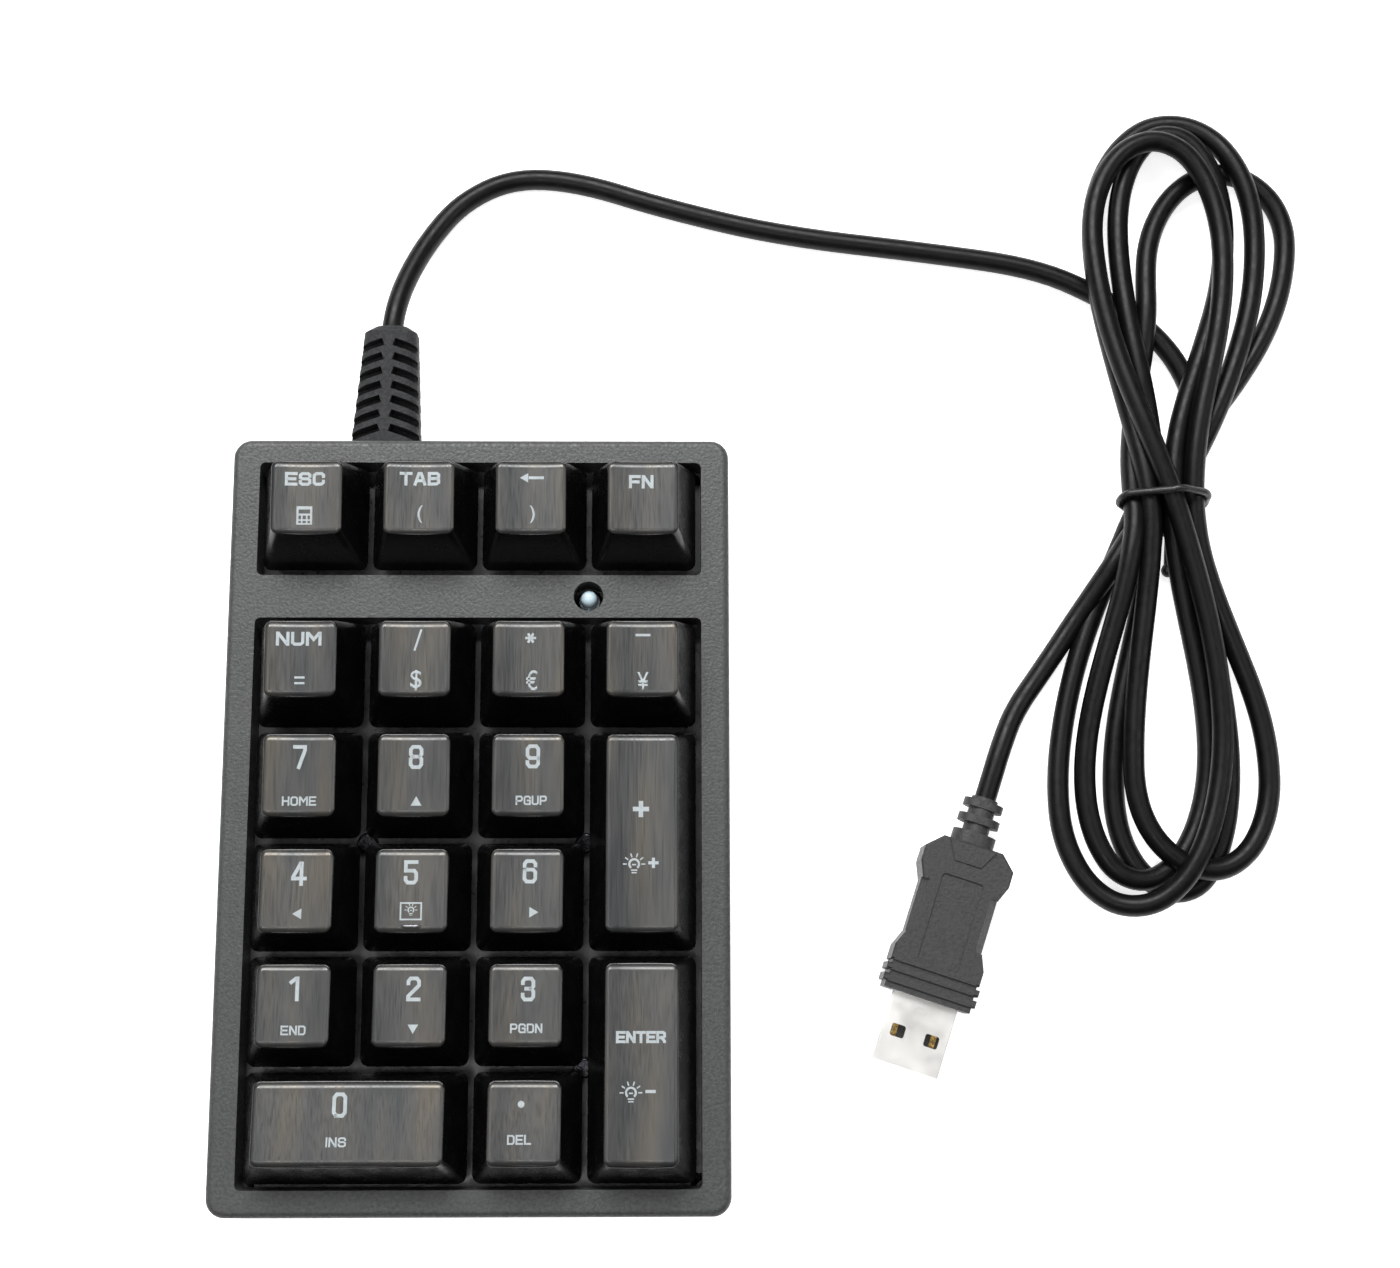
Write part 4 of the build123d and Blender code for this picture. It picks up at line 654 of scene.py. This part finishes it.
def block_text(text, centre, width, height, weight):
    """Block lettering whose outside fits the box, as quads."""
    spans = [max(x for line in SIGNS[c] for x, _ in line) for c in text]
    letter_gap = 1.15
    drawn_w, drawn_h = width - weight, height - weight
    squeeze = drawn_w / (sum(spans) + letter_gap * 1.6 * (len(text) - 1) or 1.0)
    quads, pen = [], centre[0] - drawn_w / 2
    for character, span in zip(text, spans):
        for line in SIGNS[character]:
            path = [(pen + x * squeeze, centre[1] + (y / 6 - 0.5) * drawn_h) for x, y in line]
            first, second = Vector(path[0]), Vector(path[1])
            last, before = Vector(path[-1]), Vector(path[-2])
            path[0] = tuple(first + (first - second).normalized() * weight / 2)
            path[-1] = tuple(last + (last - before).normalized() * weight / 2)
            quads += stroke_quads(path, weight)
        pen += (span + letter_gap * 1.6) * squeeze
    return quads


def polygon_shape(*polygons):
    """Flat polygons as one shape."""
    shape = bmesh.new()
    for points in polygons:
        shape.faces.new([shape.verts.new((x, y, 0)) for x, y in points])
    bmesh.ops.recalc_face_normals(shape, faces=shape.faces[:])
    return shape


def bar(x, y, w, h):
    """A rectangle round its middle."""
    return [(x - w / 2, y - h / 2), (x + w / 2, y - h / 2), (x + w / 2, y + h / 2),
            (x - w / 2, y + h / 2)]


def spoke(x, y, angle, near, far, w):
    """A short ray around a point."""
    c, s = math.cos(angle), math.sin(angle)
    side = (-s * w / 2, c * w / 2)
    a, b = (x + c * near, y + s * near), (x + c * far, y + s * far)
    return [(a[0] + side[0], a[1] + side[1]), (a[0] - side[0], a[1] - side[1]),
            (b[0] - side[0], b[1] - side[1]), (b[0] + side[0], b[1] + side[1])]


def arc_band(x, y, radius, w, start, end, pieces=14):
    """Part of a ring, as quads."""
    quads = []
    for index in range(pieces):
        a, b = (math.radians(between(start, end, (index + k) / pieces)) for k in (0, 1))
        inner, outer = radius - w / 2, radius + w / 2
        quads.append([(x + inner * math.cos(a), y + inner * math.sin(a)),
                      (x + outer * math.cos(a), y + outer * math.sin(a)),
                      (x + outer * math.cos(b), y + outer * math.sin(b)),
                      (x + inner * math.cos(b), y + inner * math.sin(b))])
    return quads


def bulb(x, y, size):
    """A small lamp sign: glass, cap and rays."""
    parts = arc_band(x, y, 0.85 * size, 0.38 * size, -50, 230)
    parts += [bar(x, y - 1.05 * size, 1.1 * size, 0.26 * size),
              bar(x, y - 1.50 * size, 0.9 * size, 0.22 * size),
              bar(x, y - 0.1 * size, 0.7 * size, 0.25 * size)]
    parts += [spoke(x, y, math.radians(a), 1.25 * size, 1.95 * size, 0.24 * size)
              for a in (0, 36, 72, 108, 144, 180)]
    return parts


def frame_bars(x, y, w, h, t):
    """A hollow rectangle of four bars."""
    return [bar(x, y + h / 2, w + t, t), bar(x, y - h / 2, w + t, t),
            bar(x - w / 2, y, t, h - t), bar(x + w / 2, y, t, h - t)]


WORD, DIGIT, SMALL = 0.52, 0.60, 0.28      # stroke weights
# key, text, middle x, middle y, width, height, weight
LETTERING = [
    ("key_esc", "ESC", -28.95, 56.6, 6.8, 2.35, WORD), ("key_tab", "TAB", -9.4, 56.65, 6.9, 2.35, WORD),
    ("key_fn", "FN", 28.3, 56.2, 4.2, 2.3, WORD), ("key_num_lock", "NUM", -28.95, 28.8, 7.6, 2.35, WORD),
    ("key_num_lock", "=", -28.7, 21.8, 1.7, 2.4, 0.36), ("key_divide", "/", -9.05, 28.6, 1.35, 3.6, 0.34),
    ("key_7", "7", -28.6, 9.15, 2.3, 4.0, DIGIT), ("key_8", "8", -9.2, 9.15, 2.4, 4.0, DIGIT),
    ("key_9", "9", 10.3, 9.25, 2.4, 4.0, DIGIT), ("key_4", "4", -28.2, -10.2, 2.6, 4.0, DIGIT),
    ("key_5", "5", -9.7, -10.0, 2.35, 4.0, DIGIT), ("key_6", "6", 10.0, -9.85, 2.4, 4.0, DIGIT),
    ("key_1", "1", -28.5, -29.0, 1.6, 4.0, DIGIT), ("key_2", "2", -8.9, -29.05, 2.35, 4.0, DIGIT),
    ("key_3", "3", 9.9, -29.1, 2.35, 4.0, DIGIT), ("key_0", "0", -20.5, -47.65, 2.4, 4.0, DIGIT),
    ("key_7", "HOME", -28.5, 1.8, 5.7, 1.55, SMALL), ("key_9", "PGUP", 10.1, 1.9, 5.2, 1.55, SMALL),
    ("key_1", "END", -28.4, -35.7, 4.1, 1.55, SMALL), ("key_3", "PGDN", 9.7, -35.45, 5.3, 1.55, SMALL),
    ("key_enter", "ENTER", 28.5, -36.9, 8.2, 1.95, 0.46), ("key_0", "INS", -20.85, -53.5, 3.3, 1.55, SMALL),
    ("key_decimal", "DEL", 8.8, -53.2, 3.9, 1.55, SMALL),
]
CHARACTERS = [
    ("key_tab", "(", -9.3, 50.5, 0.95, 3.1), ("key_backspace", ")", 9.75, 50.5, 0.95, 3.1),
    ("key_divide", "$", -9.25, 21.8, 1.9, 3.5), ("key_multiply", "€", 10.1, 21.8, 1.95, 3.4),
    ("key_minus", "¥", 28.7, 21.7, 1.9, 3.0),
]


def triangle(x, y, size, angle):
    """A solid arrow head."""
    return [(x + size * math.cos(angle + k), y + size * math.sin(angle + k))
            for k in (0, 2 * math.pi / 3, 4 * math.pi / 3)]


def dot(x, y, radius, count=20):
    """A filled circle."""
    return [(x + radius * math.cos(2 * math.pi * k / count), y + radius * math.sin(2 * math.pi * k / count))
            for k in range(count)]


for index, (key, text, x, y, width, height, weight) in enumerate(LETTERING):
    letters = polygon_shape(*block_text(text, (x, y), width, height, weight))
    legend_from(letters, key, f"{key}_legend_{index}")
for index, (key, text, x, y, width, height) in enumerate(CHARACTERS):
    legend_from(text_shape(text, (x, y), width, height), key, f"{key}_character_{index}")

calculator = [bar(-28.95, 51.6, 2.6, 0.55), bar(-28.95, 50.45, 2.6, 0.34)]
calculator += [bar(-28.95 + dx, 50.3, 0.36, 3.1) for dx in (-1.16, 1.16)]
calculator += [bar(-28.95 + dx, 49.6, 0.26, 1.8) for dx in (-0.42, 0.42)]
calculator += [bar(-28.95, 49.5 + dy, 2.6, 0.26) for dy in (-0.66, 0.0)]
signs = {
    "key_esc": calculator,
    "key_backspace": [bar(10.4, 56.85, 2.6, 0.5), triangle(8.55, 56.85, 0.95, math.pi)],
    "key_minus": [bar(28.7, 29.45, 2.5, 0.42)],
    "key_multiply": [spoke(9.85, 28.95, math.pi * k / 3, -0.9, 0.9, 0.42) for k in range(3)],
    "key_8": [triangle(-9.05, 1.55, 1.05, math.pi / 2)],
    "key_4": [triangle(-28.1, -16.8, 1.0, math.pi)],
    "key_6": [triangle(10.5, -16.6, 1.0, 0.0)],
    "key_2": [triangle(-8.85, -35.3, 1.0, -math.pi / 2)],
    "key_5": frame_bars(-9.55, -16.4, 3.4, 2.7, 0.26) + bulb(-9.55, -16.2, 0.55),
    "key_plus": [bar(28.4, 0.45, 2.7, 0.75), bar(28.4, 0.45, 0.75, 2.7), bar(30.5, -8.5, 1.7, 0.5),
                 bar(30.5, -8.5, 0.5, 1.7)] + bulb(27.3, -8.7, 0.95),
    "key_enter": [bar(30.1, -45.6, 1.7, 0.5)] + bulb(26.9, -45.8, 0.95),
    "key_decimal": [dot(9.0, -47.6, 0.55)],
}
for key, polygons in signs.items():
    legend_from(polygon_shape(*polygons), key, f"{key}_sign", lift=0.022)

homing = bpy.data.curves.new("key_5_homing_bar", "CURVE")
homing.dimensions = "3D"
homing.bevel_depth = 0.36 * MM
homing.bevel_resolution = 5
homing.use_fill_caps = True
ridge = homing.splines.new("NURBS")
ridge_y = TOPS["key_5"].front + 1.0
ridge_points = [(-11.0, -0.12), (-10.8, 0.0), (-9.5, 0.0), (-8.2, 0.0), (-8.0, -0.12)]
ridge.points.add(len(ridge_points) - 1)
for place, (x, sink) in zip(ridge.points, ridge_points):
    place.co = (x * MM, ridge_y * MM, (TOPS["key_5"].height(x, ridge_y) + 0.16 + sink) * MM, 1.0)
    place.radius = 0.6 if sink else 1.0
ridge.order_u = 3
ridge.use_endpoint_u = True
# the homing bar takes the rim colour: a painted highlight along the ridge
add_piece("key_5_homing_bar", homing, "key_5", "key_plastic", rim_highlight_look)

# ---------------------------------------------------------------- floor and light
floor_look = Look("floor", (0.86, 0.86, 0.86), 0.75).mottle(0.35, 0.004)
floor_mesh = bpy.data.meshes.new("floor")
floor_mesh.from_pydata([(-2, -2, -0.0001), (2, -2, -0.0001), (2, 2, -0.0001), (-2, 2, -0.0001)], [],
                       [(0, 1, 2, 3)])
floor = bpy.data.objects.new("floor", floor_mesh)
floor_look.bsdf.inputs["Emission Color"].default_value = (1, 1, 1, 1)
floor_look.bsdf.inputs["Emission Strength"].default_value = 0.75
SCENE.collection.objects.link(floor)
floor_mesh.materials.append(floor_look.mat)

world = bpy.data.worlds.new("studio")
world.use_nodes = True
world.node_tree.nodes["Background"].inputs["Color"].default_value = (1.0, 1.0, 1.0, 1.0)
world.node_tree.nodes["Background"].inputs["Strength"].default_value = 0.11
SCENE.world = world


def softbox(name, place, aim, size, power):
    """A rectangular studio light."""
    lamp = bpy.data.lights.new(name, "AREA")
    lamp.shape = "RECTANGLE"
    lamp.size, lamp.size_y = size
    lamp.energy = power
    holder = bpy.data.objects.new(name, lamp)
    SCENE.collection.objects.link(holder)
    holder.location = place
    holder.rotation_euler = (Vector(aim) - Vector(place)).to_track_quat("-Z", "Y").to_euler()


softbox("key_light", (-0.10, 0.62, 0.85), (0.03, 0.02, 0.0), (0.75, 0.40), 16.5)
softbox("fill_light", (0.80, 0.05, 0.80), (0.03, 0.0, 0.0), (0.25, 0.9), 2.6)
softbox("left_light", (-0.80, -0.1, 0.75), (0.03, 0.0, 0.0), (0.25, 0.9), 1.6)
softbox("front_light", (-0.12, -0.22, 0.85), (0.0, -0.03, 0.0), (0.3, 0.3), 1.6)

SCENE.view_settings.view_transform = "Standard"
SCENE.view_settings.look = "None"
SCENE.view_settings.exposure = 0.0

# ---------------------------------------------------------------- end
bpy.context.view_layer.update()
